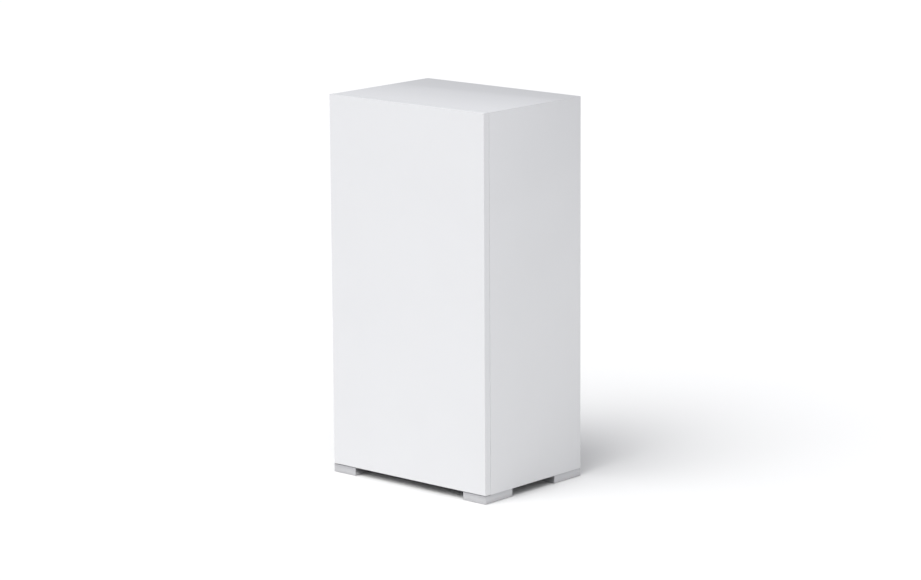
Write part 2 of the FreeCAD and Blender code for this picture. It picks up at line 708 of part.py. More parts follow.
def door_core():
    """The space inside the door's sheet, open at the back and at both ends."""
    x = WIDTH / 2 - DOOR_SHEET
    return block(-x, x, FRONT + DOOR_SHEET, DOOR_BACK, DOOR_BOTTOM, TOP).common(door_slab())


def door_outer_panel():
    """One folded sheet: the front and the two long edges of the door."""
    x = WIDTH / 2 - DOOR_SHEET
    inside = block(-x, x, FRONT + DOOR_SHEET, DOOR_BACK + CUT_PAST, DOOR_BOTTOM, TOP)
    return door_slab().cut([inside, hinge_pocket()])


def door_top_cap():
    """Moulded top end with the seat of the top bush and the hinge slot."""
    end = block(LEFT, RIGHT_X, FRONT, DOOR_BACK, TOP - CAP_HEIGHT, TOP)
    cap = door_core().common(end)
    bush = rod(BUSH_RADIUS, V(AXIS_X, AXIS_Y, POCKET_FLOOR - BUSH_LENGTH), UP, BUSH_LENGTH)
    return cap.cut([hinge_pocket(), bush])


def door_bottom_cap():
    """Moulded bottom end with the seat of the bottom bush and the finger scoop."""
    end = block(LEFT, RIGHT_X, FRONT, DOOR_BACK, DOOR_BOTTOM, DOOR_BOTTOM + CAP_HEIGHT)
    cap = door_core().common(end)
    bush = rod(BUSH_RADIUS, V(AXIS_X, AXIS_Y, DOOR_BOTTOM), UP, BUSH_LENGTH)
    return cap.cut([bush, scoop_block()])


def bin_levels():
    """Underside of each door bin, spread from the bottom of the plug to the chiller's tray."""
    first = PLUG_BOTTOM + BIN_FIRST
    pitch = (TRAY_BOTTOM - first) / len(BIN_HEIGHTS)
    return [first + pitch * i for i in range(len(BIN_HEIGHTS))]


def bin_hooks(grow, drop):
    """Hooks on the plug that carry the bins; `grow` and `drop` give the bins their slots."""
    hooks = []
    for level, height in zip(bin_levels(), BIN_HEIGHTS):
        top = level + height * HOOK_LEVEL
        for sign in (-1, 1):
            x = sign * BIN_X * HOOK_SPREAD
            half = HOOK_WIDTH / 2 + grow
            low = top - HOOK_HEIGHT - drop
            hooks.append(block(x - half, x + half, PLUG_BACK, PLUG_BACK + HOOK_DEPTH, low, top))
    return hooks


def door_plug(shrink):
    """The plug as a solid, with its walls taken off by `shrink`."""
    x, front, back = PLUG_X - shrink, DOOR_BACK - DOOR_LINER, PLUG_BACK - shrink
    return block(-x, x, front, back, PLUG_BOTTOM + shrink, PLUG_TOP - shrink)


def door_liner():
    """Vacuum-formed back of the door: a flange, the hollow plug and the bin hooks."""
    low, high = DOOR_BOTTOM + CAP_HEIGHT, TOP - CAP_HEIGHT
    sheet = block(LEFT, RIGHT_X, DOOR_BACK - DOOR_LINER, DOOR_BACK, low, high)
    flange = sheet.common(door_core())
    return fuse([flange, door_plug(0.0)] + bin_hooks(0.0, 0.0)).cut(door_plug(DOOR_LINER))


def door_foam():
    """Foam inside the door and its plug."""
    low, high = DOOR_BOTTOM + CAP_HEIGHT, TOP - CAP_HEIGHT
    slab = block(LEFT, RIGHT_X, FRONT, DOOR_BACK - DOOR_LINER, low, high).common(door_core())
    return fuse([slab, door_plug(DOOR_LINER)])


def door_gasket():
    """Magnetic seal on the door, round the plug, that meets the liner's flange."""
    back = SEAT - GASKET_CLEARANCE
    x, low, high = GASKET_X + GASKET_WIDTH, GASKET_LOW - GASKET_WIDTH, GASKET_HIGH + GASKET_WIDTH
    outer = block(-x, x, DOOR_BACK, back, low, high)
    return outer.cut(block(-GASKET_X, GASKET_X, DOOR_BACK, back, GASKET_LOW, GASKET_HIGH))


def door_bin(level, height):
    """One open bin whose slots drop over the hooks."""
    outer = block(-BIN_X, BIN_X, PLUG_BACK, BIN_BACK, level, level + height)
    x, front, back = BIN_X - BIN_WALL, PLUG_BACK + BIN_WALL, BIN_BACK - BIN_WALL
    hollow = block(-x, x, front, back, level + BIN_FLOOR, level + height)
    return outer.cut([hollow] + bin_hooks(HOOK_CLEARANCE, HOOK_DROP))


# ---------------------------------------------------------------- inside fittings
def shelf_glass(level):
    """Toughened glass plate resting on two ribs."""
    front, back = SHELF_FRONT + TRIM_WALL, INNER_BACK - SHELF_BACK_GAP
    return block(-SHELF_X, SHELF_X, front, back, level, level + GLASS)


def shelf_trim(level):
    """Moulded edge that grips the front of the glass."""
    low, high = level - TRIM_WALL, level + GLASS + TRIM_WALL
    outer = block(-SHELF_X, SHELF_X, SHELF_FRONT, SHELF_FRONT + TRIM_DEPTH, low, high)
    return outer.cut(shelf_glass(level))


def chiller_box():
    """Aluminium evaporator bent into a box that is open at the front."""
    outer = block(CHILLER_LEFT, CHILLER_RIGHT, CHILLER_FRONT, CHILLER_BACK, CHILLER_BOTTOM, CHILLER_TOP)
    inner = block(
        CHILLER_LEFT + CHILLER_WALL,
        CHILLER_RIGHT - CHILLER_WALL,
        CHILLER_FRONT,
        CHILLER_BACK - CHILLER_WALL,
        CHILLER_BOTTOM + CHILLER_WALL,
        CHILLER_TOP - CHILLER_WALL,
    )
    return outer.cut(inner)


def chiller_hangers():
    """Spacers that hang the chiller from the liner's roof."""
    hangers = []
    for x in (CHILLER_LEFT + HANGER_INSET, CHILLER_RIGHT - HANGER_INSET):
        for y in (CHILLER_FRONT + HANGER_INSET, CHILLER_BACK - HANGER_INSET):
            hangers.append(rod(HANGER_RADIUS, V(x, y, CHILLER_TOP), UP, CHILLER_CEILING_GAP))
    return Part.Compound(hangers)


def ear_places():
    """Left and right ear of the flap, as (lowest x, highest x)."""
    return [
        (CHILLER_LEFT, CHILLER_LEFT + EAR_WALL),
        (CHILLER_RIGHT - EAR_WALL, CHILLER_RIGHT),
    ]


def chiller_bezel():
    """Frame on the front of the chiller with two ears for the flap's pins."""
    outer = block(CHILLER_LEFT, CHILLER_RIGHT, BEZEL_FRONT, CHILLER_FRONT, CHILLER_BOTTOM, CHILLER_TOP)
    inner = block(
        CHILLER_LEFT + BEZEL_WALL,
        CHILLER_RIGHT - BEZEL_WALL,
        BEZEL_FRONT,
        CHILLER_FRONT,
        CHILLER_BOTTOM + BEZEL_WALL,
        CHILLER_TOP - BEZEL_WALL,
    )
    pieces = [outer.cut(inner)]
    for x0, x1 in ear_places():
        pieces.append(rod(EAR_RADIUS, V(x0, PIVOT_Y, PIVOT_Z), RIGHT, EAR_WALL))
        pieces.append(block(x0, x1, PIVOT_Y, BEZEL_FRONT, PIVOT_Z - EAR_RADIUS, PIVOT_Z + EAR_RADIUS))
    bore = FLAP_PIN + PIN_CLEARANCE
    holes = [rod(bore, V(x0, PIVOT_Y, PIVOT_Z), RIGHT, EAR_WALL) for x0, x1 in ear_places()]
    return fuse(pieces).cut(holes)


def chiller_flap():
    """Door of the chiller, hung from two stub pins at its top corners."""
    x0 = CHILLER_LEFT + EAR_WALL + FLAP_END_GAP
    x1 = CHILLER_RIGHT - EAR_WALL - FLAP_END_GAP
    half = FLAP_THICKNESS / 2
    bottom = CHILLER_BOTTOM + FLAP_SILL
    panel = block(x0, x1, PIVOT_Y - half, PIVOT_Y + half, bottom, PIVOT_Z)
    head = rod(half, V(x0, PIVOT_Y, PIVOT_Z), RIGHT, x1 - x0)
    pin_start = V(x0 - FLAP_PIN_LENGTH, PIVOT_Y, PIVOT_Z)
    pins = rod(FLAP_PIN, pin_start, RIGHT, x1 - x0 + 2 * FLAP_PIN_LENGTH)
    grip_x = (x0 + x1 - FLAP_GRIP_WIDTH) / 2
    grip_y = PIVOT_Y - half - FLAP_GRIP_DEPTH
    grip = block(grip_x, grip_x + FLAP_GRIP_WIDTH, grip_y, PIVOT_Y, bottom, bottom + FLAP_GRIP_HEIGHT)
    return fuse([panel, head, pins, grip])


def drip_tray():
    """Tray under the chiller, on the highest ribs."""
    back = INNER_BACK - SHELF_BACK_GAP
    outer = block(-SHELF_X, SHELF_X, SHELF_FRONT, back, TRAY_BOTTOM, TRAY_TOP)
    x, front = SHELF_X - TRAY_WALL, SHELF_FRONT + TRAY_WALL
    return outer.cut(block(-x, x, front, back - TRAY_WALL, TRAY_BOTTOM + TRAY_WALL, TRAY_TOP))


def lamp_lens():
    """Lamp window in the underside of the thermostat housing."""
    return block(
        HOUSING_LEFT + LENS_MARGIN,
        HOUSING_RIGHT - LENS_MARGIN,
        HOUSING_FRONT + LENS_MARGIN,
        HOUSING_BACK - LENS_MARGIN,
        HOUSING_BOTTOM,
        HOUSING_BOTTOM + LENS_THICKNESS,
    )


def thermostat_housing():
    """Hollow cover on the right wall with the knob's hole and the lamp's window."""
    outer = block(HOUSING_LEFT, HOUSING_RIGHT, HOUSING_FRONT, HOUSING_BACK, HOUSING_BOTTOM, HOUSING_TOP)
    inner = block(
        HOUSING_LEFT + HOUSING_WALL,
        HOUSING_RIGHT,
        HOUSING_FRONT + HOUSING_WALL,
        HOUSING_BACK - HOUSING_WALL,
        HOUSING_BOTTOM + HOUSING_WALL,
        HOUSING_TOP - HOUSING_WALL,
    )
    start = V(KNOB_X, HOUSING_FRONT, KNOB_Z)
    hole = rod(SPINDLE_RADIUS + SPINDLE_CLEARANCE, start, BACK, HOUSING_WALL)
    return outer.cut([inner, hole, lamp_lens()])


def thermostat():
    """Switch body behind the housing's front, with a sleeve that the knob's spindle turns in."""
    y0 = HOUSING_FRONT + HOUSING_WALL
    x, z = THERMOSTAT_WIDTH / 2, THERMOSTAT_HEIGHT / 2
    body = block(KNOB_X - x, KNOB_X + x, y0, y0 + THERMOSTAT_DEPTH, KNOB_Z - z, KNOB_Z + z)
    bore = rod(SPINDLE_RADIUS + SPINDLE_CLEARANCE, V(KNOB_X, y0, KNOB_Z), BACK, SPINDLE_LENGTH)
    return body.cut(bore)


def thermostat_knob():
    """Knob and spindle, with a grip bar across its face."""
    back = HOUSING_FRONT - KNOB_GAP
    disc_start = V(KNOB_X, back - KNOB_DEPTH / 2, KNOB_Z)
    disc = rod(KNOB_RADIUS, disc_start, BACK, KNOB_DEPTH / 2)
    x, z = KNOB_BAR / 2, KNOB_RADIUS - KNOB_BAR_INSET
    bar = block(KNOB_X - x, KNOB_X + x, back - KNOB_DEPTH, back, KNOB_Z - z, KNOB_Z + z)
    reach = KNOB_DEPTH / 2 + KNOB_GAP + HOUSING_WALL + SPINDLE_LENGTH - SPINDLE_END_GAP
    spindle = rod(SPINDLE_RADIUS, disc_start, BACK, reach)
    return fuse([disc, bar, spindle])


def lamp_board():
    """Circuit board with its light source above the lens, hung from the housing's roof."""
    x, y = LAMP_WIDTH / 2, LAMP_DEPTH / 2
    centre_y = HOUSING_BACK - LENS_MARGIN - y
    low = HOUSING_BOTTOM + LENS_THICKNESS + LAMP_BOARD_GAP
    high = low + LAMP_BOARD
    half = LAMP_EMITTER / 2
    board = block(KNOB_X - x, KNOB_X + x, centre_y - y, centre_y + y, low, high)
    emitter = block(
        KNOB_X - half, KNOB_X + half, centre_y - half, centre_y + half, low - LAMP_EMITTER_HEIGHT, low
    )
    post = rod(LAMP_POST, V(KNOB_X, centre_y, high), UP, HOUSING_TOP - HOUSING_WALL - high)
    return fuse([board, emitter, post])


# ---------------------------------------------------------------- refrigerant circuit
def compressor_shell():
    """Welded steel pot that holds the motor and the pump."""
    pot = rod(POT_RADIUS, V(POT_OFFSET, POT_Y, POT_BASE), UP, POT_HEIGHT)
    pot = rounded(pot, POT_ROUND, lambda e: e.Curve.TypeId == "Part::GeomCircle")
    seam_start = V(POT_OFFSET, POT_Y, (POT_BASE + POT_TOP - POT_SEAM_HEIGHT) / 2)
    seam = rod(POT_RADIUS + POT_SEAM, seam_start, UP, POT_SEAM_HEIGHT)
    return fuse([pot, seam])


def mount_places():
    """Centres of the compressor's four mounts."""
    x, y = PLATE_WIDTH / 2 - MOUNT_INSET, PLATE_DEPTH / 2 - MOUNT_INSET
    return [(POT_OFFSET + sx * x, POT_Y + sy * y) for sx in (-1, 1) for sy in (-1, 1)]


def compressor_plate():
    """Mounting plate welded under the pot."""
    z = FLOOR_Z + GROMMET_HEIGHT
    x, y = PLATE_WIDTH / 2, PLATE_DEPTH / 2
    plate = block(POT_OFFSET - x, POT_OFFSET + x, POT_Y - y, POT_Y + y, z, z + PLATE)
    plate = rounded(plate, PLATE_CORNER, lambda e: along(e, UP))
    return plate.cut([rod(BOLT_RADIUS, V(x, y, z), UP, PLATE) for x, y in mount_places()])


def compressor_grommets():
    """Rubber feet between the base plate and the compressor's plate."""
    grommets = []
    for x, y in mount_places():
        body = rod(GROMMET_RADIUS, V(x, y, FLOOR_Z), UP, GROMMET_HEIGHT)
        grommets.append(body.cut(rod(BOLT_RADIUS, V(x, y, FLOOR_Z), UP, GROMMET_HEIGHT)))
    return Part.Compound(grommets)


def compressor_bolts():
    """Studs through the grommets, each with its nut."""
    bolts = []
    for x, y in mount_places():
        shank = rod(BOLT_RADIUS, V(x, y, FLOOR_Z), UP, GROMMET_HEIGHT + PLATE + BOLT_END)
        nut = rod(NUT_RADIUS, V(x, y, POT_BASE), UP, NUT_HEIGHT)
        bolts.append(fuse([nut, shank]))
    return Part.Compound(bolts)


def terminal_box():
    """Cover over the compressor's terminals and start relay."""
    y, low = TERMINAL_WIDTH / 2, POT_BASE + TERMINAL_LEVEL
    box = block(
        TERMINAL_X, TERMINAL_X + TERMINAL_REACH, POT_Y - y, POT_Y + y, low, low + TERMINAL_HEIGHT
    )
    return box.cut(compressor_shell())


def discharge_pipe():
    """From the pot to the foot of the condenser's riser."""
    points = [
        V(POT_OFFSET + POT_RADIUS - DISCHARGE_SOCKET, POT_Y, DISCHARGE_Z),
        V(RISER_X, POT_Y, DISCHARGE_Z),
        V(RISER_X, TUBE_Y, DISCHARGE_Z),
        V(RISER_X, TUBE_Y, RISER_START),
    ]
    return pipe(points, TUBE_RADIUS, TUBE_BEND).cut(compressor_shell())


def condenser_tube():
    """Up the right side, then to and fro across the back, down to the drier."""
    points = [V(RISER_X, TUBE_Y, RISER_START), V(RISER_X, TUBE_Y, CONDENSER_HIGH)]
    side = -1
    for i in range(CONDENSER_RUNS):
        z = CONDENSER_HIGH - i * CONDENSER_PITCH
        points.append(V(side * CONDENSER_X, TUBE_Y, z))
        if i < CONDENSER_RUNS - 1:
            points.append(V(side * CONDENSER_X, TUBE_Y, z - CONDENSER_PITCH))
        side = -side
    points.append(V(points[-1].x, TUBE_Y, DRIER_TOP))
    return pipe(points, TUBE_RADIUS, TUBE_BEND)


def condenser_wires():
    """Grid of wires over the rear of the tube, tied by a wire at each end."""
    y = TUBE_Y + TUBE_RADIUS + WIRE_RADIUS
    span = CONDENSER_X - TUBE_BEND - WIRE_SIDE_GAP
    low, high = CONDENSER_LOW - WIRE_OVERHANG, CONDENSER_HIGH + WIRE_OVERHANG
    wires = []
    for i in range(WIRE_COUNT):
        x = -span + 2 * span * i / (WIRE_COUNT - 1)
        wires.append(rod(WIRE_RADIUS, V(x, y, low), UP, high - low))
    for z in (low + WIRE_OVERHANG / 2, high - WIRE_OVERHANG / 2):
        start = V(-span - WIRE_TIE_OVERHANG, y, z)
        wires.append(rod(WIRE_RADIUS, start, RIGHT, 2 * (span + WIRE_TIE_OVERHANG)))
    return fuse(wires)


def condenser_brackets():
    """Spacers that hold the condenser off the back panel."""
    y0, y1 = BACK_SHEET_FRONT + BACK_SHEET, TUBE_Y + TUBE_RADIUS
    half_x, half_z = CLIP_WIDTH / 2, CLIP_HEIGHT / 2
    clips = []
    for x in (CLIP_INSET - CONDENSER_X, CONDENSER_X - CLIP_INSET):
        for z in (CONDENSER_LOW + CONDENSER_PITCH / 2, CONDENSER_HIGH - CONDENSER_PITCH / 2):
            clips.append(block(x - half_x, x + half_x, y0, y1, z - half_z, z + half_z))
    return Part.Compound(clips)


def filter_drier():
    """Copper drier between the condenser and the capillary."""
    def place(z):
        return V(-CONDENSER_X, TUBE_Y, z)

    taper = DRIER_TAPER
    upper_end = TUBE_RADIUS + DRIER_SWAGE
    body = rod(DRIER_RADIUS, place(DRIER_BOTTOM + taper), UP, DRIER_LENGTH - 2 * taper)
    upper = Part.makeCone(DRIER_RADIUS, upper_end, taper, place(DRIER_TOP - taper), UP)
    lower = Part.makeCone(TUBE_RADIUS, DRIER_RADIUS, taper, place(DRIER_BOTTOM), UP)
    return fuse([body, upper, lower])


def suction_pipe():
    """From the back of the chiller down through the foam to the pot."""
    points = [
        V(POT_OFFSET - POT_RADIUS, POT_Y, SUCTION_Z),
        V(SUCTION_X, POT_Y, SUCTION_Z),
        V(SUCTION_X, PIPE_Y, SUCTION_Z),
        V(SUCTION_X, PIPE_Y, PIPE_TOP),
        V(SUCTION_X, CHILLER_BACK, PIPE_TOP),
    ]
    return pipe(points, TUBE_RADIUS, TUBE_BEND)


def capillary_tube():
    """From the drier up through the foam to the back of the chiller."""
    low = DRIER_BOTTOM - CAPILLARY_DROP
    points = [
        V(-CONDENSER_X, TUBE_Y, DRIER_BOTTOM),
        V(-CONDENSER_X, TUBE_Y, low),
        V(-CONDENSER_X, PIPE_Y, low),
        V(CAPILLARY_X, PIPE_Y, low),
        V(CAPILLARY_X, PIPE_Y, PIPE_TOP),
        V(CAPILLARY_X, CHILLER_BACK, PIPE_TOP),
    ]
    return pipe(points, CAPILLARY_RADIUS, CAPILLARY_BEND)


def evaporation_pan():
    """Tray on top of the pot that dries off the drain's water."""
    x0, y0 = POT_OFFSET - PAN_WIDTH / 2, POT_Y - PAN_DEPTH / 2
    outer = block(x0, x0 + PAN_WIDTH, y0, y0 + PAN_DEPTH, POT_TOP, POT_TOP + PAN_HEIGHT)
    inner = block(
        x0 + PAN_WALL,
        x0 + PAN_WIDTH - PAN_WALL,
        y0 + PAN_WALL,
        y0 + PAN_DEPTH - PAN_WALL,
        POT_TOP + PAN_WALL,
        POT_TOP + PAN_HEIGHT,
    )
    return outer.cut(inner)


def drain_channel(radius):
    """The drain's way from the step in the liner, aside in the foam, down to just above the pan."""
    low = POT_TOP + PAN_HEIGHT + DRAIN_PAN_GAP
    high = STEP_TOP - LINER
    middle_z = (high + BAY_TOP + BAY_SHEET) / 2
    points = [
        V(POT_OFFSET, DRAIN_Y, STEP_TOP),
        V(POT_OFFSET, DRAIN_Y, middle_z + DRAIN_BEND / 2),
        V(POT_OFFSET + DRAIN_SHIFT, DRAIN_Y, middle_z - DRAIN_BEND / 2),
        V(POT_OFFSET + DRAIN_SHIFT, DRAIN_Y, low),
    ]
    return pipe(points, radius, DRAIN_BEND)


def drain_tube():
    """Open tube along the drain's way."""
    return drain_channel(DRAIN_RADIUS).cut(drain_channel(DRAIN_RADIUS - DRAIN_WALL))


# ---------------------------------------------------------------- power inlet
def inlet_body_block(y0, y1):
    """The inlet's body between two planes."""
    x, z = INLET_BODY_WIDTH / 2, INLET_BODY_HEIGHT / 2
    return block(INLET_X - x, INLET_X + x, y0, y1, INLET_Z - z, INLET_Z + z)


def inlet_bracket():
    """Angle on the base plate that carries the inlet."""
    back, front = INLET_PLATE_BACK, INLET_PLATE_BACK - BRACKET_SHEET
    half = INLET_WIDTH / 2 + BRACKET_SIDE
    x0, x1 = INLET_X - half, INLET_X + half
    plate = block(x0, x1, front, back, FLOOR_Z, INLET_Z + INLET_HEIGHT / 2 + BRACKET_ABOVE)
    toe = block(x0, x1, front - BRACKET_TOE, back, FLOOR_Z, FLOOR_Z + BRACKET_SHEET)
    return fuse([plate, toe]).cut(inlet_body_block(front, back))


def power_inlet():
    """Recessed three-pin inlet in its flange; the body and the pins are separate solids."""
    x, z = INLET_WIDTH / 2, INLET_HEIGHT / 2
    flange = block(INLET_X - x, INLET_X + x, INLET_PLATE_BACK, INLET_FACE, INLET_Z - z, INLET_Z + z)
    body = inlet_body_block(INLET_FACE - INLET_BODY_DEPTH, INLET_PLATE_BACK)
    x, z = INLET_BODY_WIDTH / 2 - INLET_SOCKET_WALL, INLET_BODY_HEIGHT / 2 - INLET_SOCKET_WALL
    floor = INLET_FACE - INLET_SOCKET_DEPTH
    socket = block(INLET_X - x, INLET_X + x, floor, INLET_FACE, INLET_Z - z, INLET_Z + z)
    x, z = INLET_PIN_WIDTH / 2, INLET_PIN_HEIGHT / 2
    pins = []
    for side in (-1, 0, 1):
        pin_x = INLET_X + side * INLET_PIN_PITCH
        pin_z = INLET_Z - INLET_PIN_RISE if side else INLET_Z + INLET_PIN_RISE
        end = floor + INLET_PIN_LENGTH
        pins.append(block(pin_x - x, pin_x + x, floor, end, pin_z - z, pin_z + z))
    return Part.Compound([fuse([flange, body]).cut(socket)] + pins)


def inlet_lead():
    """Lead from the inlet to the terminal box."""
    points = [
        V(INLET_X, INLET_FACE - INLET_BODY_DEPTH, INLET_Z),
        V(INLET_X, POT_Y, INLET_Z),
        V(TERMINAL_X + TERMINAL_REACH, POT_Y, INLET_Z),
    ]
    return pipe(points, LEAD_RADIUS, LEAD_BEND)


# ---------------------------------------------------------------- all pieces by name
def pieces():
    """Every sub-part of the refrigerator, by node name."""
    made = {
        "left_side_panel": side_panel(-1),
        "right_side_panel": side_panel(1),
        "top_panel": top_panel(),
        "base_plate": base_plate(),
        "back_panel": back_panel(),
        "compressor_bay_shroud": compressor_bay_shroud(),
        "front_frame": front_frame(),
        "inner_liner": inner_liner(),
        "insulation_foam": insulation_foam(),
        "foot_pads": foot_pads(),
        "foot_screws": foot_screws(),
        "top_hinge_bracket": top_hinge_bracket(),
        "top_hinge_screws": top_hinge_screws(),
        "hinge_pins": hinge_pins(),
        "hinge_thrust_washer": hinge_thrust_washer(),
        "hinge_bushes": hinge_bushes(),
        "door_outer_panel": door_outer_panel(),
        "door_top_cap": door_top_cap(),
        "door_bottom_cap": door_bottom_cap(),
        "door_liner": door_liner(),
        "door_foam": door_foam(),
        "door_gasket": door_gasket(),
        "chiller_box": chiller_box(),
        "chiller_hangers": chiller_hangers(),
        "chiller_bezel": chiller_bezel(),
        "chiller_flap": chiller_flap(),
        "drip_tray": drip_tray(),
        "thermostat_housing": thermostat_housing(),
        "thermostat": thermostat(),
        "thermostat_knob": thermostat_knob(),
        "lamp_lens": lamp_lens(),
        "lamp_board": lamp_board(),
        "compressor_shell": compressor_shell(),
        "compressor_plate": compressor_plate(),
        "compressor_grommets": compressor_grommets(),
        "compressor_bolts": compressor_bolts(),
        "terminal_box": terminal_box(),
        "discharge_pipe": discharge_pipe(),
        "condenser_tube": condenser_tube(),
        "condenser_wires": condenser_wires(),
        "condenser_brackets": condenser_brackets(),
        "filter_drier": filter_drier(),
        "suction_pipe": suction_pipe(),
        "capillary_tube": capillary_tube(),
        "evaporation_pan": evaporation_pan(),
        "drain_tube": drain_tube(),
        "inlet_bracket": inlet_bracket(),
        "power_inlet": power_inlet(),
        "inlet_lead": inlet_lead(),
    }
    for name, (x, y) in foot_corners().items():
        made[name] = foot(x, y)
    for i, level in enumerate(shelf_levels(), 1):
        made[f"shelf_{i}_glass"] = shelf_glass(level)
        made[f"shelf_{i}_trim"] = shelf_trim(level)
    bin_names = ("bottle_bin", "middle_bin", "upper_bin")
    for name, level, height in zip(bin_names, bin_levels(), BIN_HEIGHTS):
        made[name] = door_bin(level, height)
    return made


def main():
    """Writes one STEP file for each piece."""
    os.makedirs("parts", exist_ok=True)
    for name, shape in pieces().items():
        if not shape.isValid():
            raise ValueError(name + " is not a valid shape")
        shape.exportStep(os.path.join("parts", name + ".step"))


main()
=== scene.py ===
"""Looks of a slim compact refrigerator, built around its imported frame, in metres."""

import functools
import logging
import math
from dataclasses import dataclass
from enum import Enum
from typing import Any, Iterable, Sequence, Union

import bmesh
import bpy
from mathutils import Matrix, Vector


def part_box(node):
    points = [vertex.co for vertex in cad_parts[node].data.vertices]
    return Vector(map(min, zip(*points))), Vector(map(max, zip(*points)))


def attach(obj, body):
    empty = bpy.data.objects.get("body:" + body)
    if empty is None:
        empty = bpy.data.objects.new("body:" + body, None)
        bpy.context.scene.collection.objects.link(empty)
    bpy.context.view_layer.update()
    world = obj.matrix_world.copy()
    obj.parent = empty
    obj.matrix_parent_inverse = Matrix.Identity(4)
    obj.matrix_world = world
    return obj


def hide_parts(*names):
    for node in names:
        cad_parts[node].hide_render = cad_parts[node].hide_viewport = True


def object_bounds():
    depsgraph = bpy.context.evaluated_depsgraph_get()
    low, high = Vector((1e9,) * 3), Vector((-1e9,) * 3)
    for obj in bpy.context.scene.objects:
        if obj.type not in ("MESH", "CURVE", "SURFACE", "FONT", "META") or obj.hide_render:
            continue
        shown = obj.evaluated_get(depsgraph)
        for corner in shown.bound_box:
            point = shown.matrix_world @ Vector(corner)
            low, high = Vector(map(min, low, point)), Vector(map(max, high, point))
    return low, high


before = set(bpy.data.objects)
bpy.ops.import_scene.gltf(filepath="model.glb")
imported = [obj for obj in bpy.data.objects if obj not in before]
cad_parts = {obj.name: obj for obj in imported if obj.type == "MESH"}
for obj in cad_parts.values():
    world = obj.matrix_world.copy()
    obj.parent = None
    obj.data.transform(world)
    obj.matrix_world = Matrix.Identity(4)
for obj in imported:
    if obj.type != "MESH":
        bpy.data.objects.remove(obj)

LOG = logging.getLogger("refrigerator")
CAD_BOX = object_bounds()
MM = 0.001
Colour = tuple[float, float, float]
Point = tuple[float, float, float]
ORIGIN: Point = (0.0, 0.0, 0.0)
ANY_TURN_ABOUT_Y: Point = (0.0, math.tau, 0.0)
ANY_TURN_ABOUT_Z: Point = (0.0, 0.0, math.tau)
SIDES = (-1, 1)
BINS = ("bottle_bin", "middle_bin", "upper_bin")


class Body(str, Enum):
    """The bodies that pieces ride on."""

    CABINET = "cabinet"
    DOOR = "door"
    FLAP = "flap"
    KNOB = "knob"


class Axis(int, Enum):
    """An axis of the frame, by its place in a point."""

    X = 0
    Y = 1
    Z = 2


# ---------------------------------------------------------------- shader maths
class Signal:
    """An output socket that can stand in a Python expression."""

    def __init__(self, graph: "ShaderGraph", socket: bpy.types.NodeSocket) -> None:
        """Wrap an output socket of a graph."""
        self.graph = graph
        self.socket = socket

    def __add__(self, other: "Value") -> "Signal":
        """Sum."""
        return self.graph.maths("ADD", self, other)

    def __sub__(self, other: "Value") -> "Signal":
        """Difference."""
        return self.graph.maths("SUBTRACT", self, other)

    def __rsub__(self, other: "Value") -> "Signal":
        """Difference with the number first."""
        return self.graph.maths("SUBTRACT", other, self)

    def __mul__(self, other: "Value") -> "Signal":
        """Product."""
        return self.graph.maths("MULTIPLY", self, other)

    __radd__ = __add__

    def step(self, low: float, high: float) -> "Signal":
        """A smooth step that rises from 0 at the low value to 1 at the high one."""
        inputs = {"Value": self, "From Min": low, "From Max": high}
        return self.graph.signal("ShaderNodeMapRange", {"interpolation_type": "SMOOTHSTEP"}, inputs)


Value = Union[Signal, float]


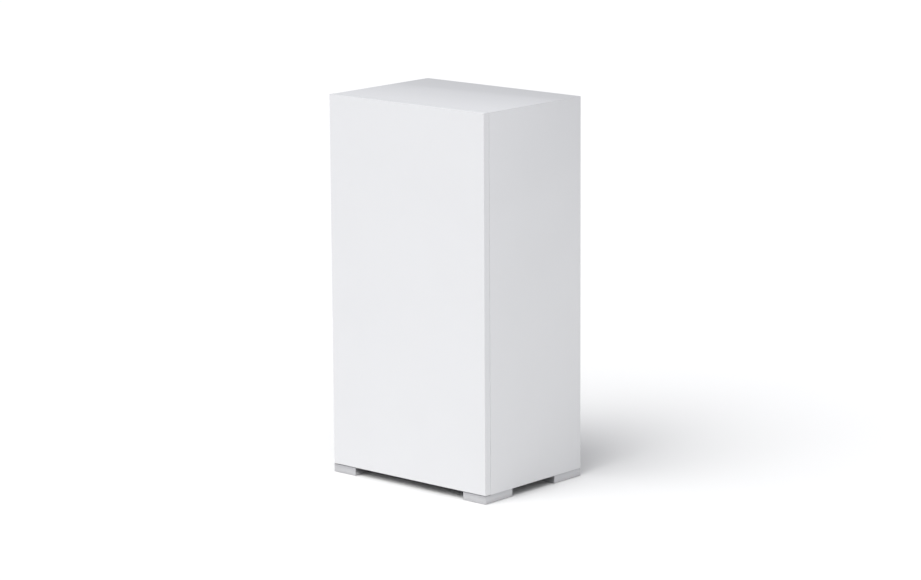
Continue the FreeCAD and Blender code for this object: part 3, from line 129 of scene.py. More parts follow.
class ShaderGraph:
    """A material's nodes, around one principled surface."""

    def __init__(self, name: str) -> None:
        """Start an empty material.

        Args:
            name: The material's name.
        """
        self.material = bpy.data.materials.new(name)
        self.material.use_nodes = True
        self.tree = self.material.node_tree
        self.tree.nodes.clear()
        self.surface = self.node("ShaderNodeBsdfPrincipled")
        self.node("ShaderNodeOutputMaterial", inputs={"Surface": self.surface.outputs[0]})

    def node(self, kind: str, settings: dict | None = None, inputs: dict | None = None) -> bpy.types.Node:
        """Add a node.

        Args:
            kind: The node's type.
            settings: Its settings, set first.
            inputs: Values or links of its sockets, by name or number.

        Returns:
            The node.
        """
        node = self.tree.nodes.new(kind)
        for name, value in (settings or {}).items():
            setattr(node, name, value)
        for name, value in (inputs or {}).items():
            self.feed(node.inputs[name], value)
        return node

    def feed(self, socket: bpy.types.NodeSocket, value: Any) -> None:
        """Give a socket its value or its link.

        Args:
            socket: The input socket.
            value: A signal, an output socket, a number, a colour or a vector.
        """
        if isinstance(value, Signal):
            value = value.socket
        if isinstance(value, bpy.types.NodeSocket):
            self.tree.links.new(value, socket)
        elif socket.type == "RGBA" and len(value) == 3:
            socket.default_value = (*value, 1.0)
        else:
            socket.default_value = value

    def signal(self, kind: str, settings: dict | None = None, inputs: dict | None = None,
               output: int | str = 0) -> Signal:
        """Add a node and take one of its outputs, by name or number."""
        return Signal(self, self.node(kind, settings, inputs).outputs[output])

    def maths(self, operation: str, first: Value, second: Value) -> Signal:
        """Add a sum, difference or product."""
        return self.signal("ShaderNodeMath", {"operation": operation}, {0: first, 1: second})

    def place(self, scale: Point | None = None) -> Signal:
        """The point on the object, in metres in the frame.

        Args:
            scale: Stretch along each axis, if there is one.

        Returns:
            The point.
        """
        point = self.signal("ShaderNodeTexCoord", output="Object")
        if scale is None:
            return point
        return self.signal("ShaderNodeMapping", inputs={"Vector": point, "Scale": scale})

    def noise(self, point: Signal, scale: float, detail: float = 2.0, rough: float = 0.5) -> Signal:
        """Fractal noise, about 0.5 on average: features per metre, octaves, and the finer ones' strength."""
        inputs = {"Vector": point, "Scale": scale, "Detail": detail, "Roughness": rough}
        return self.signal("ShaderNodeTexNoise", {"noise_dimensions": "3D"}, inputs)

    def blend(self, factor: Value, first: Any, second: Any) -> Signal:
        """Mix two colours.

        Args:
            factor: Share of the second.
            first: First colour.
            second: Second colour.

        Returns:
            The mixed colour.
        """
        node = self.node("ShaderNodeMix", {"data_type": "RGBA"}, {0: factor})
        self.feed(node.inputs[6], first)
        self.feed(node.inputs[7], second)
        return Signal(self, node.outputs[2])

    def bump(self, height: Signal, depth: float, over: Signal | None = None) -> Signal:
        """Relief from a height between 0 and 1.

        Args:
            height: The height.
            depth: What a height of 1 stands for, in metres.
            over: A relief that this one adds to.

        Returns:
            The normal.
        """
        inputs: dict[str, Any] = {"Height": height, "Strength": 1.0, "Distance": depth}
        if over is not None:
            inputs["Normal"] = over
        return self.signal("ShaderNodeBump", None, inputs)


# ---------------------------------------------------------------- finishes
def shaded(tint: Colour, *shares: float) -> Colour:
    """A darker, paler, warmer or cooler tone of a colour.

    Args:
        tint: The colour.
        shares: One share for the whole colour, or one each for its red, green and blue.

    Returns:
        The tone.
    """
    return tuple(share * part for share, part in zip(shares * (len(tint) // len(shares)), tint))


@dataclass(frozen=True)
class Finish:
    """A finish, under the name of the record's slot that it belongs to."""

    slot: str

    def paint(self, graph: ShaderGraph) -> None:
        """Fill the new material's graph; each finish does it in its own way."""
        raise NotImplementedError

    def set(self, graph: ShaderGraph, **values: Any) -> None:
        """Give the surface's sockets their values or links.

        Args:
            graph: The material's graph.
            values: Sockets in small letters, with _ for a space.
        """
        names = {socket.name.lower().replace(" ", "_"): socket for socket in graph.surface.inputs}
        for name, value in values.items():
            graph.feed(names[name], value)


@functools.cache
def material_of(finish: Finish) -> bpy.types.Material:
    """The finish's material, built once.

    Args:
        finish: The finish.

    Returns:
        The material.
    """
    graph = ShaderGraph(f"{type(finish).__name__.lower()}_{finish.slot}")
    finish.paint(graph)
    return graph.material


@dataclass(frozen=True)
class Enamel(Finish):
    """Sprayed and baked enamel with a faint orange-peel skin."""

    tint: Colour
    gloss: float
    peel: float = 0.02 * MM
    peel_per_metre: float = 420.0
    wear_per_metre: float = 5.0
    dust_per_metre: float = 1600.0

    def paint(self, graph: ShaderGraph) -> None:
        """Even colour, slightly uneven gloss, and the skin.

        Args:
            graph: The new material's graph.
        """
        point = graph.place()
        wear = graph.noise(point, self.wear_per_metre, 3.0)
        skin = graph.noise(point, self.peel_per_metre, 1.0)
        dust = graph.noise(point, self.dust_per_metre, 2.0).step(0.66, 0.8)
        colour = graph.blend(wear.step(0.35, 0.8), self.tint, shaded(self.tint, 0.985))
        self.set(
            graph,
            base_color=graph.blend(dust * 0.25, colour, shaded(self.tint, 0.8)),
            roughness=(1.0 - self.gloss) + (wear - 0.5) * 0.03 + dust * 0.05,
            coat_weight=0.35,
            coat_roughness=0.12,
            normal=graph.bump(skin, self.peel),
        )


@dataclass(frozen=True)
class BrushedMetal(Finish):
    """Metal brushed along one axis or, on a block's sides, along two, with a dull clear film."""

    tint: Colour
    along: tuple[Axis, ...] = (Axis.X, Axis.Y)
    lines_per_metre: float = 2600.0
    rough: float = 0.36
    depth: float = 0.03 * MM
    stretch: float = 0.012
    smudges_per_metre: float = 28.0

    def paint(self, graph: ShaderGraph) -> None:
        """Long fine scratches that vary the colour, the gloss and the relief.

        Args:
            graph: The new material's graph.
        """
        brushed = graph.place(tuple(self.stretch if axis in self.along else 1.0 for axis in Axis))
        streaks = graph.noise(brushed, self.lines_per_metre, 2.0, 0.6)
        bands = graph.noise(brushed, self.lines_per_metre / 9, 2.0)
        smudge = graph.noise(graph.place(), self.smudges_per_metre, 3.0)
        self.set(
            graph,
            base_color=graph.blend(streaks * 0.5 + bands * 0.5, shaded(self.tint, 0.62), self.tint),
            metallic=0.9,
            roughness=self.rough + (streaks - 0.5) * 0.25 + (smudge - 0.5) * 0.12,
            normal=graph.bump(streaks, self.depth),
        )


@dataclass(frozen=True)
class Galvanised(Finish):
    """Zinc-dipped sheet with its spangle of frost-like crystals."""

    tint: Colour = (0.5, 0.51, 0.52)
    crystals_per_metre: float = 85.0
    feathers_per_metre: float = 900.0
    stains_per_metre: float = 9.0

    def paint(self, graph: ShaderGraph) -> None:
        """Crystals with their own shade and gloss, and faint stains.

        Args:
            graph: The new material's graph.
        """
        point = graph.place()
        bend = graph.noise(point, 60.0, 2.0)
        inputs = {"Vector": point, "Scale": self.crystals_per_metre, "Randomness": 1.0}
        cells = graph.signal("ShaderNodeTexVoronoi", {"feature": "F1"}, inputs, "Color")
        shade = graph.signal("ShaderNodeSeparateColor", None, {"Color": cells}, "Red")
        feathers = graph.noise(point, self.feathers_per_metre, 3.0)
        mixed = shade * 0.6 + feathers * 0.25 + bend * 0.15
        stain = graph.noise(point, self.stains_per_metre, 4.0).step(0.55, 0.75)
        bright = graph.blend(mixed, shaded(self.tint, 0.66), shaded(self.tint, 1.25))
        self.set(
            graph,
            base_color=graph.blend(stain * 0.35, bright, shaded(self.tint, 0.83)),
            metallic=0.85 - stain * 0.3,
            roughness=0.36 + mixed * 0.22 + stain * 0.15,
            normal=graph.bump(mixed, 0.02 * MM),
        )


@dataclass(frozen=True)
class Plated(Finish):
    """Bright plating on pressed and turned steel, handled and a little dull."""

    tint: Colour = (0.6, 0.59, 0.56)
    rough: float = 0.3
    clouds_per_metre: float = 140.0
    marks_per_metre: float = 2400.0

    def paint(self, graph: ShaderGraph) -> None:
        """Cloudy colour and gloss with fine tool marks.

        Args:
            graph: The new material's graph.
        """
        cloud = graph.noise(graph.place(), self.clouds_per_metre, 4.0)
        marks = graph.noise(graph.place((1.0, 1.0, 4.0)), self.marks_per_metre, 2.0)
        warm = shaded(self.tint, 0.62, 0.55, 0.42)
        self.set(
            graph,
            base_color=graph.blend(cloud.step(0.45, 0.8) * 0.6, self.tint, warm),
            metallic=0.95,
            roughness=self.rough + (cloud - 0.5) * 0.25 + (marks - 0.5) * 0.12,
            normal=graph.bump(marks, 0.012 * MM),
        )


@dataclass(frozen=True)
class Copper(Finish):
    """Drawn copper pipe, tarnished in patches."""

    fresh: Colour = (0.72, 0.3, 0.16)
    dull: Colour = (0.2, 0.085, 0.05)
    patches_per_metre: float = 45.0
    lines_per_metre: float = 1800.0

    def paint(self, graph: ShaderGraph) -> None:
        """Fresh metal under patches of tarnish and draw lines.

        Args:
            graph: The new material's graph.
        """
        patches = graph.noise(graph.place(), self.patches_per_metre, 5.0, 0.6).step(0.42, 0.68)
        lines = graph.noise(graph.place((1.0, 1.0, 0.05)), self.lines_per_metre, 2.0)
        self.set(
            graph,
            base_color=graph.blend(patches * 0.8, self.fresh, self.dull),
            metallic=1.0 - patches * 0.35,
            roughness=0.26 + patches * 0.3 + (lines - 0.5) * 0.1,
            normal=graph.bump(lines, 0.015 * MM),
        )


@dataclass(frozen=True)
class MouldedPlastic(Finish):
    """Injection-moulded plastic with a spark-eroded grain."""

    tint: Colour
    rough: float = 0.42
    grain: float = 0.02 * MM
    grain_per_metre: float = 1500.0
    flow_per_metre: float = 24.0

    def paint(self, graph: ShaderGraph) -> None:
        """Grain, flow marks and a slightly uneven colour.

        Args:
            graph: The new material's graph.
        """
        point = graph.place()
        grain = graph.noise(point, self.grain_per_metre, 2.0, 0.6)
        flow = graph.noise(graph.place((1.0, 1.0, 0.35)), self.flow_per_metre, 3.0)
        shade = graph.blend(flow, shaded(self.tint, 0.93), self.tint)
        self.set(
            graph,
            base_color=graph.blend(grain * 0.1, shade, shaded(self.tint, 0.8)),
            roughness=self.rough + (grain - 0.5) * 0.14 + (flow - 0.5) * 0.1,
            specular_ior_level=0.45,
            normal=graph.bump(grain, self.grain),
        )


@dataclass(frozen=True)
class FormedPlastic(Finish):
    """Vacuum-formed sheet, glossy and very slightly wavy."""

    tint: Colour = (0.84, 0.845, 0.85)
    waves_per_metre: float = 14.0
    pits_per_metre: float = 700.0

    def paint(self, graph: ShaderGraph) -> None:
        """Broad waves, fine pits and a cooler tone in the waves.

        Args:
            graph: The new material's graph.
        """
        point = graph.place()
        waves = graph.noise(point, self.waves_per_metre, 2.0)
        pits = graph.noise(point, self.pits_per_metre, 2.0)
        cool = shaded(self.tint, 0.955, 0.965, 0.98)
        self.set(
            graph,
            base_color=graph.blend(waves.step(0.3, 0.75), self.tint, cool),
            roughness=0.24 + (waves - 0.5) * 0.12 + (pits - 0.5) * 0.06,
            coat_weight=0.2,
            coat_roughness=0.1,
            normal=graph.bump(pits, 0.008 * MM, graph.bump(waves, 0.35 * MM)),
        )


@dataclass(frozen=True)
class ClearPlastic(Finish):
    """Clear moulded polystyrene, faintly blue, scuffed by use."""

    tint: Colour = (0.9, 0.955, 0.975)
    passing: float = 0.82
    rough: float = 0.07
    scuffs_per_metre: float = 500.0
    flow_per_metre: float = 30.0

    def paint(self, graph: ShaderGraph) -> None:
        """Mostly light that passes, with scuffs that scatter it.

        Args:
            graph: The new material's graph.
        """
        scuffs = graph.noise(graph.place((1.0, 0.2, 1.0)), self.scuffs_per_metre, 3.0).step(0.6, 0.75)
        flow = graph.noise(graph.place(), self.flow_per_metre, 2.0)
        self.set(
            graph,
            base_color=graph.blend(flow * 0.6, self.tint, shaded(self.tint, 0.94)),
            roughness=self.rough + scuffs * 0.22 + flow * 0.04,
            transmission_weight=self.passing,
            ior=1.45,
            normal=graph.bump(flow, 0.2 * MM),
        )


@dataclass(frozen=True)
class ShelfGlass(Finish):
    """Toughened float glass with a green cast."""

    tint: Colour = (0.8, 0.93, 0.88)
    smears_per_metre: float = 22.0

    def paint(self, graph: ShaderGraph) -> None:
        """Clear glass with a breath of smears.

        Args:
            graph: The new material's graph.
        """
        smears = graph.noise(graph.place((1.0, 0.3, 1.0)), self.smears_per_metre, 4.0, 0.6)
        self.set(
            graph,
            base_color=graph.blend(smears.step(0.4, 0.8), self.tint, shaded(self.tint, 0.97)),
            roughness=0.02 + smears.step(0.5, 0.8) * 0.06,
            transmission_weight=0.92,
            ior=1.5,
            normal=graph.bump(smears, 0.02 * MM),
        )


@dataclass(frozen=True)
class Rubber(Finish):
    """Extruded or moulded rubber with a dry bloom."""

    tint: Colour
    rough: float = 0.62
    bloom_per_metre: float = 60.0
    grain_per_metre: float = 2600.0

    def paint(self, graph: ShaderGraph) -> None:
        """Dusty bloom over a fine matt grain.

        Args:
            graph: The new material's graph.
        """
        point = graph.place()
        bloom = graph.noise(point, self.bloom_per_metre, 4.0)
        grain = graph.noise(point, self.grain_per_metre, 2.0)
        pale = tuple(0.8 * c + 0.03 for c in self.tint)
        self.set(
            graph,
            base_color=graph.blend(bloom.step(0.4, 0.7), self.tint, pale),
            roughness=self.rough + (bloom - 0.5) * 0.2 + (grain - 0.5) * 0.1,
            specular_ior_level=0.35,
            normal=graph.bump(grain, 0.02 * MM),
        )


@dataclass(frozen=True)
class Foam(Finish):
    """Cut rigid foam with its open cells."""

    tint: Colour = (0.8, 0.7, 0.42)
    aged: Colour = (0.72, 0.56, 0.26)
    # Painted shade of the open cells: a dark tone that the colour turns to away from each cell's centre.
    cell_floor: Colour = (0.42, 0.33, 0.16)
    cells_per_metre: float = 900.0
    ageing_per_metre: float = 12.0

    def paint(self, graph: ShaderGraph) -> None:
        """Painted shade in the cells, darker away from each cell's centre, in an uneven yellow.

        Args:
            graph: The new material's graph.
        """
        point = graph.place()
        inputs = {"Vector": point, "Scale": self.cells_per_metre}
        cells = graph.signal("ShaderNodeTexVoronoi", {"feature": "F1"}, inputs, "Distance")
        tone = graph.blend(graph.noise(point, self.ageing_per_metre, 3.0), self.tint, self.aged)
        self.set(
            graph,
            # Painted shade: the colour darkens towards the dark cell tone away from each cell's centre.
            base_color=graph.blend(cells.step(0.2, 0.6) * 0.4, tone, self.cell_floor),
            roughness=0.8 + cells * 0.15,
            normal=graph.bump(cells, 0.4 * MM),
        )


@dataclass(frozen=True)
class CircuitBoard(Finish):
    """Lacquered board with tracks under the lacquer."""

    lacquer: Colour = (0.02, 0.14, 0.06)
    track: Colour = (0.04, 0.24, 0.1)
    tracks_per_metre: float = 160.0
    weave_per_metre: float = 1200.0

    def paint(self, graph: ShaderGraph) -> None:
        """Tracks as the joints of a grid of bricks.

        Args:
            graph: The new material's graph.
        """
        point = graph.place()
        settings = {"offset": 0.35, "squash": 1.6, "squash_frequency": 3}
        inputs = {"Vector": point, "Scale": self.tracks_per_metre, "Mortar Size": 0.04, "Mortar Smooth": 0.1}
        tracks = graph.signal("ShaderNodeTexBrick", settings, inputs, "Fac")
        weave = graph.noise(point, self.weave_per_metre, 1.0)
        self.set(
            graph,
            base_color=graph.blend(tracks, self.lacquer, self.track),
            roughness=0.3 + weave * 0.12 + tracks * 0.08,
            coat_weight=0.5,
            normal=graph.bump(tracks, 0.03 * MM),
        )


@dataclass(frozen=True)
class StudioFloor(Finish):
    """Seamless pale card."""

    tint: Colour = (0.97, 0.968, 0.955)

    def paint(self, graph: ShaderGraph) -> None:
        """Pale card with the faintest mottle.

        Args:
            graph: The new material's graph.
        """
        mottle = graph.noise(graph.place(), 3.0, 3.0)
        self.set(
            graph,
            base_color=graph.blend(mottle, self.tint, shaded(self.tint, 0.99)),
            roughness=0.7 + mottle * 0.1,
            specular_ior_level=0.2,
        )


WHITE_ENAMEL = Enamel("white_enamel", (0.715, 0.717, 0.725), 0.62)
FRAME_ENAMEL = Enamel("white_frame_enamel", (0.76, 0.765, 0.77), 0.6)
GREY_ENAMEL = Enamel("grey_back_sheet", (0.12, 0.125, 0.13), 0.45, peel=0.03 * MM)
BLACK_ENAMEL = Enamel("black_enamel", (0.012, 0.012, 0.013), 0.6, peel=0.03 * MM, peel_per_metre=700.0)
GALVANISED = Galvanised("galvanised_sheet")
# The base plate's galvanised sheet, tinted far darker than the rest of the galvanised parts: painted shade
# under the cabinet.
SHADED_BASE_SHEET = Galvanised("galvanised_sheet", (0.16, 0.163, 0.166))
FOOT_METAL = BrushedMetal("brushed_foot_metal", (0.7, 0.7, 0.715))
ZINC = Plated("zinc_steel")
COPPER = Copper("copper")
ALUMINIUM = BrushedMetal("evaporator_aluminium", (0.72, 0.73, 0.74), (Axis.Y,), 1500.0, 0.42)
LINER_PLASTIC = FormedPlastic("white_liner_plastic")
WHITE_PLASTIC = MouldedPlastic("white_moulded_plastic", (0.8, 0.805, 0.81))
CLEAR_PLASTIC = ClearPlastic("clear_bin_plastic")
SHELF_GLASS = ShelfGlass("shelf_glass")
LENS_PLASTIC = ClearPlastic("frosted_lens", (0.96, 0.97, 0.98), 0.45, 0.4)
GASKET_RUBBER = Rubber("gasket_rubber", (0.55, 0.56, 0.57), 0.55)
BLACK_RUBBER = Rubber("black_rubber", (0.02, 0.02, 0.02), 0.7)
BLACK_PLASTIC = MouldedPlastic("black_plastic", (0.022, 0.022, 0.024), 0.5)
GREY_PLASTIC = MouldedPlastic("grey_plastic", (0.2, 0.205, 0.21), 0.38)
NYLON = MouldedPlastic("nylon", (0.72, 0.7, 0.62), 0.35)
FOAM = Foam("foam")
BOARD = CircuitBoard("circuit_board")
CARD = StudioFloor("floor")


# ---------------------------------------------------------------- mesh work
def mesh_of(shape: bmesh.types.BMesh, name: str) -> bpy.types.Mesh:
    """Turn a shape into a mesh.

    Args:
        shape: The shape, which is freed.
        name: The mesh's name.

    Returns:
        The mesh.
    """
    mesh = bpy.data.meshes.new(name)
    shape.to_mesh(mesh)
    shape.free()
    return mesh


def round_edges(shape: bmesh.types.BMesh, edges: list[bmesh.types.BMEdge], radius: float, steps: int,
                clamped: bool = True) -> None:
    """Round some of a shape's edges.

    Args:
        shape: The shape.
        edges: The edges.
        radius: Radius of the rounds.
        steps: Faces across each round.
        clamped: Whether rounds that would meet are made smaller.
    """
    bmesh.ops.bevel(shape, geom=edges, offset=radius, segments=steps, profile=0.5, affect="EDGES",
                    clamp_overlap=clamped)


class Form:
    """Closed shapes gathered into one mesh."""

    def __init__(self) -> None:
        """Start empty."""
        self.bm = bmesh.new()

    def take(self, other: bmesh.types.BMesh) -> "Form":
        """Move a shape in.

        Args:
            other: The shape, which is freed.

        Returns:
            This form.
        """
        bmesh.ops.recalc_face_normals(other, faces=other.faces)
        mesh = mesh_of(other, "part")
        self.bm.from_mesh(mesh)
        bpy.data.meshes.remove(mesh)
        return self

    def block(self, low: Sequence[float], high: Sequence[float], round_by: float = 0.0,
              steps: int = 3) -> "Form":
        """Add a block with rounded edges.

        Args:
            low: Lowest corner.
            high: Highest corner.
            round_by: Radius of the edges.
            steps: Faces across each round.

        Returns:
            This form.
        """
        shape = bmesh.new()
        bmesh.ops.create_cube(shape, size=1.0)
        low, high = Vector(low), Vector(high)
        for vert in shape.verts:
            vert.co = Vector(low[i] + (vert.co[i] + 0.5) * (high[i] - low[i]) for i in range(3))
        if round_by > 0.0:
            round_edges(shape, shape.edges[:], round_by, steps)
        return self.take(shape)

    def loft(self, loops: Sequence[Sequence[Point]], joined: bool = False, capped: bool = True) -> "Form":
        """Add a skin over loops that have the same number of points.

        Args:
            loops: The loops, in order.
            joined: Whether the last loop meets the first.
            capped: Whether the ends get flat caps where they don't meet.

        Returns:
            This form.
        """
        shape = bmesh.new()
        rows = [[shape.verts.new(point) for point in loop] for loop in loops]
        pairs = list(zip(rows, rows[1:])) + ([(rows[-1], rows[0])] if joined else [])
        for first, second in pairs:
            for i in range(len(first)):
                j = (i + 1) % len(first)
                shape.faces.new((first[i], first[j], second[j], second[i]))
        if capped and not joined:
            shape.faces.new(rows[0])
            shape.faces.new(rows[-1])
        return self.take(shape)

    def lathe(self, profile: Sequence[tuple[float, float]], centre: Point, axis: Axis,
              sides: int = 48) -> "Form":
        """Add a turned shape whose profile starts and ends on the axis.

        Args:
            profile: Radius and height of each point.
            centre: Where height 0 of the axis is.
            axis: The axis that it is turned about.
            sides: Faces around.

        Returns:
            This form.
        """
        shape = bmesh.new()
        across = [i for i in range(3) if i != axis]
        rows = []
        for radius, height in profile:
            row = []
            for i in range(sides if radius > 0.0 else 1):
                turn = 2 * math.pi * i / sides
                point = list(centre)
                point[across[0]] += radius * math.cos(turn)
                point[across[1]] += radius * math.sin(turn)
                point[axis] += height
                row.append(shape.verts.new(point))
            rows.append(row)
        for first, second in zip(rows, rows[1:]):
            for i in range(sides):
                ring = [first[i % len(first)], first[(i + 1) % len(first)],
                        second[(i + 1) % len(second)], second[i % len(second)]]
                shape.faces.new(list(dict.fromkeys(ring)))
        return self.take(shape)

    def mesh(self, name: str) -> bpy.types.Mesh:
        """The finished mesh, after which nothing more goes in."""
        return mesh_of(self.bm, name)


def arc(centre: tuple[float, float], radius: float, start: float, end: float,
        steps: int) -> list[tuple[float, float]]:
    """Points along an arc.

    Args:
        centre: Its centre.
        radius: Its radius.
        start: First angle, in degrees.
        end: Last angle, in degrees.
        steps: Number of stretches.

    Returns:
        The points.
    """
    turns = [math.radians(start + (end - start) * i / steps) for i in range(steps + 1)]
    return [(centre[0] + radius * math.cos(t), centre[1] + radius * math.sin(t)) for t in turns]


def rounded_rectangle(low: Sequence[float], high: Sequence[float], radius: float,
                      steps: int = 6) -> list[tuple[float, float]]:
    """Outline of a rectangle with round corners.

    Args:
        low: Lowest corner.
        high: Highest corner.
        radius: Radius of the corners.
        steps: Stretches in each corner.

    Returns:
        The outline's points.
    """
    points = []
    corners = [(high[0], high[1]), (low[0], high[1]), (low[0], low[1]), (high[0], low[1])]
    for quarter, (x, y) in enumerate(corners):
        inset = (x + (radius if x == low[0] else -radius), y + (radius if y == low[1] else -radius))
        points += arc(inset, radius, 90 * quarter, 90 * quarter + 90, steps)
    return points


def lifted(outline: Iterable[tuple[float, float]], axis: Axis, level: float) -> list[Point]:
    """An outline at a level of an axis.

    Args:
        outline: Points across the axis, in the order of the other two axes.
        axis: The axis.
        level: Where along it.

    Returns:
        The points.
    """
    points = []
    for pair in outline:
        point = list(pair)
        point.insert(axis, level)
        points.append(tuple(point))
    return points


def tub(low: Vector, high: Vector, levels: Sequence[tuple[float, float]], corner: float,
        tighter: float = 0.0, least: float = 0.0) -> Form:
    """A skin over rounded rectangles, drawn up one side of a wall and down the other.

    Args:
        low: Lowest corner of the box that it fills.
        high: Highest corner of the box.
        levels: Inset and rise of each rectangle.
        corner: Radius of the outline's corners where the inset is 0.
        tighter: How much smaller the corners get with the inset.
        least: Smallest radius of a corner.

    Returns:
        The form.
    """
    loops = []
    for inset, rise in levels:
        outline = rounded_rectangle((low.x + inset, low.y + inset), (high.x - inset, high.y - inset),
                                    max(corner - inset * tighter, least))
        loops.append(lifted(outline, Axis.Z, low.z + rise))
    return Form().loft(loops)


def evaluated(host: bpy.types.Object, name: str) -> bpy.types.Mesh:
    """Turn an object with modifiers into a plain mesh and remove the object.

    Args:
        host: The object.
        name: The mesh's name.

    Returns:
        The mesh.
    """
    graph = bpy.context.evaluated_depsgraph_get()
    graph.update()
    mesh = bpy.data.meshes.new_from_object(host.evaluated_get(graph), depsgraph=graph)
    mesh.name = name
    bpy.data.objects.remove(host)
    return mesh


def scratch(data: bpy.types.ID | None, name: str = "scratch") -> bpy.types.Object:
    """Put data on the scene for a moment.

    Args:
        data: A mesh or a curve.
        name: The object's name.

    Returns:
        The object.
    """
    thing = bpy.data.objects.new(name, data)
    bpy.context.scene.collection.objects.link(thing)
    return thing


def merged(node: str) -> bmesh.types.BMesh:
    """A copy of a frame node's shape with its loose triangles joined into faces.

    Args:
        node: The node.

    Returns:
        The shape, which the caller frees.
    """
    shape = bmesh.new()
    shape.from_mesh(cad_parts[node].data)
    bmesh.ops.remove_doubles(shape, verts=shape.verts[:], dist=0.001 * MM)
    bmesh.ops.dissolve_limit(shape, angle_limit=math.radians(1.0), verts=shape.verts[:], edges=shape.edges[:])
    return shape


def softened(node: str, radius: float, steps: int = 2) -> bpy.types.Mesh:
    """A copy of a frame node's mesh whose hard edges are rounded.

    Args:
        node: The node.
        radius: Radius of the edges.
        steps: Faces across each round.

    Returns:
        The mesh.
    """
    mesh = mesh_of(merged(node), node)
    mesh.materials.clear()
    if not radius:
        return mesh
    host = scratch(mesh)
    bevel = host.modifiers.new("round", "BEVEL")
    bevel.width = radius
    bevel.segments = steps
    bevel.limit_method = "ANGLE"
    bevel.angle_limit = math.radians(40.0)
    bevel.use_clamp_overlap = True
    return evaluated(host, node)


def thickened(shape: bmesh.types.BMesh, wall: float, name: str) -> bpy.types.Mesh:
    """Give an open skin a wall behind its faces.

    Args:
        shape: The skin, which is freed.
        wall: The wall's thickness.
        name: The mesh's name.

    Returns:
        The mesh.
    """
    host = scratch(mesh_of(shape, name))
    solid = host.modifiers.new("wall", "SOLIDIFY")
    solid.thickness = wall
    solid.offset = -1.0
    return evaluated(host, name)


def middle_of(node: str) -> Vector:
    """Centre of a node's box.

    Args:
        node: The node.

    Returns:
        The centre.
    """
    low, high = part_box(node)
    return (low + high) / 2


# ---------------------------------------------------------------- geometry nodes
class Recipe:
    """A geometry node tree with named inputs."""

    def __init__(self, name: str) -> None:
        """Start a tree that takes and gives geometry.

        Args:
            name: The tree's name.
        """
        self.tree = bpy.data.node_groups.new(name, "GeometryNodeTree")
        self.tree.interface.new_socket("Geometry", in_out="INPUT", socket_type="NodeSocketGeometry")
        self.tree.interface.new_socket("Geometry", in_out="OUTPUT", socket_type="NodeSocketGeometry")
        self.inlet = self.tree.nodes.new("NodeGroupInput")
        self.outlet = self.tree.nodes.new("NodeGroupOutput")
        self.identifiers: dict[str, str] = {}

    def size(self, name: str, kind: str) -> bpy.types.NodeSocket:
        """Add a named input.

        Args:
            name: The input's name.
            kind: What it takes, such as Float, Int, Vector, Object or Material.

        Returns:
            Its socket inside the tree.
        """
        item = self.tree.interface.new_socket(name, in_out="INPUT", socket_type=f"NodeSocket{kind}")
        self.identifiers[name] = item.identifier
        return next(s for s in self.inlet.outputs if s.identifier == item.identifier)

    def node(self, kind: str, settings: dict | None = None, inputs: dict | None = None) -> bpy.types.Node:
        """Add a node.

        Args:
            kind: Its type, without the words that all of them start with.
            settings: Its settings, set first.
            inputs: Values or links of its sockets.

        Returns:
            The node.
        """
        known = hasattr(bpy.types, f"GeometryNode{kind}")
        node = self.tree.nodes.new(f"GeometryNode{kind}" if known else f"FunctionNode{kind}")
        for name, value in (settings or {}).items():
            setattr(node, name, value)
        for name, value in (inputs or {}).items():
            if isinstance(value, bpy.types.NodeSocket):
                self.tree.links.new(value, node.inputs[name])
            else:
                node.inputs[name].default_value = value
        return node

    def close(self, geometry: bpy.types.NodeSocket) -> None:
        """End the tree with real geometry in its finish.

        Args:
            geometry: What the tree has made.
        """
        real = self.node("RealizeInstances", inputs={"Geometry": geometry})
        finish = self.size("Finish", "Material")
        dressed = self.node("SetMaterial", inputs={"Geometry": real.outputs[0], "Material": finish})
        self.tree.links.new(dressed.outputs[0], self.outlet.inputs[0])

    def repeat(self, points: bpy.types.NodeSocket, turn: bpy.types.NodeSocket | None = None) -> None:
        """End the tree with a copy of one shape on each point.

        Args:
            points: The points.
            turn: Each copy's turn, if it has one.
        """
        inputs = {"Object": self.size("Shape", "Object"), "As Instance": True}
        info = self.node("ObjectInfo", {"transform_space": "ORIGINAL"}, inputs)
        spots = {"Points": points, "Instance": info.outputs["Geometry"]}
        if turn is not None:
            spots["Rotation"] = turn
        self.close(self.node("InstanceOnPoints", None, spots).outputs[0])

    def grow(self, data: bpy.types.ID, name: str, values: dict[str, Any]) -> bpy.types.Mesh:
        """Run the tree on a mesh or a curve.

        Args:
            data: What the tree starts from.
            name: Name of the mesh that it makes.
            values: The inputs' values, by name.

        Returns:
            The mesh.
        """
        host = scratch(data)
        modifier = host.modifiers.new("recipe", "NODES")
        modifier.node_group = self.tree
        for key, value in values.items():
            modifier[self.identifiers[key]] = value
        return evaluated(host, name)


@functools.cache
def repeat_recipe() -> Recipe:
    """A tree that puts a copy of one shape on each point, each with its own small turn.

    Returns:
        The recipe.
    """
    recipe = Recipe("repeat_on_points")
    spread, seed = recipe.size("Turn", "Vector"), recipe.size("Seed", "Int")
    turn = recipe.node("RandomValue", {"data_type": "FLOAT_VECTOR"}, {"Max": spread, "Seed": seed})
    recipe.repeat(recipe.inlet.outputs[0], turn.outputs["Value"])
    return recipe


@functools.cache
def ring_recipe() -> Recipe:
    """A tree that sets copies of one shape round a circle, each facing outwards.

    Returns:
        The recipe.
    """
    recipe = Recipe("repeat_on_circle")
    count, radius = recipe.size("Count", "Int"), recipe.size("Radius", "Float")
    circle = recipe.node("MeshCircle", {"fill_type": "NONE"}, {"Vertices": count, "Radius": radius})
    outwards = recipe.node("AlignEulerToVector", {"axis": "X", "pivot_axis": "Z"},
                           {"Vector": recipe.node("InputPosition").outputs[0]})
    recipe.repeat(circle.outputs[0], outwards.outputs[0])
    return recipe


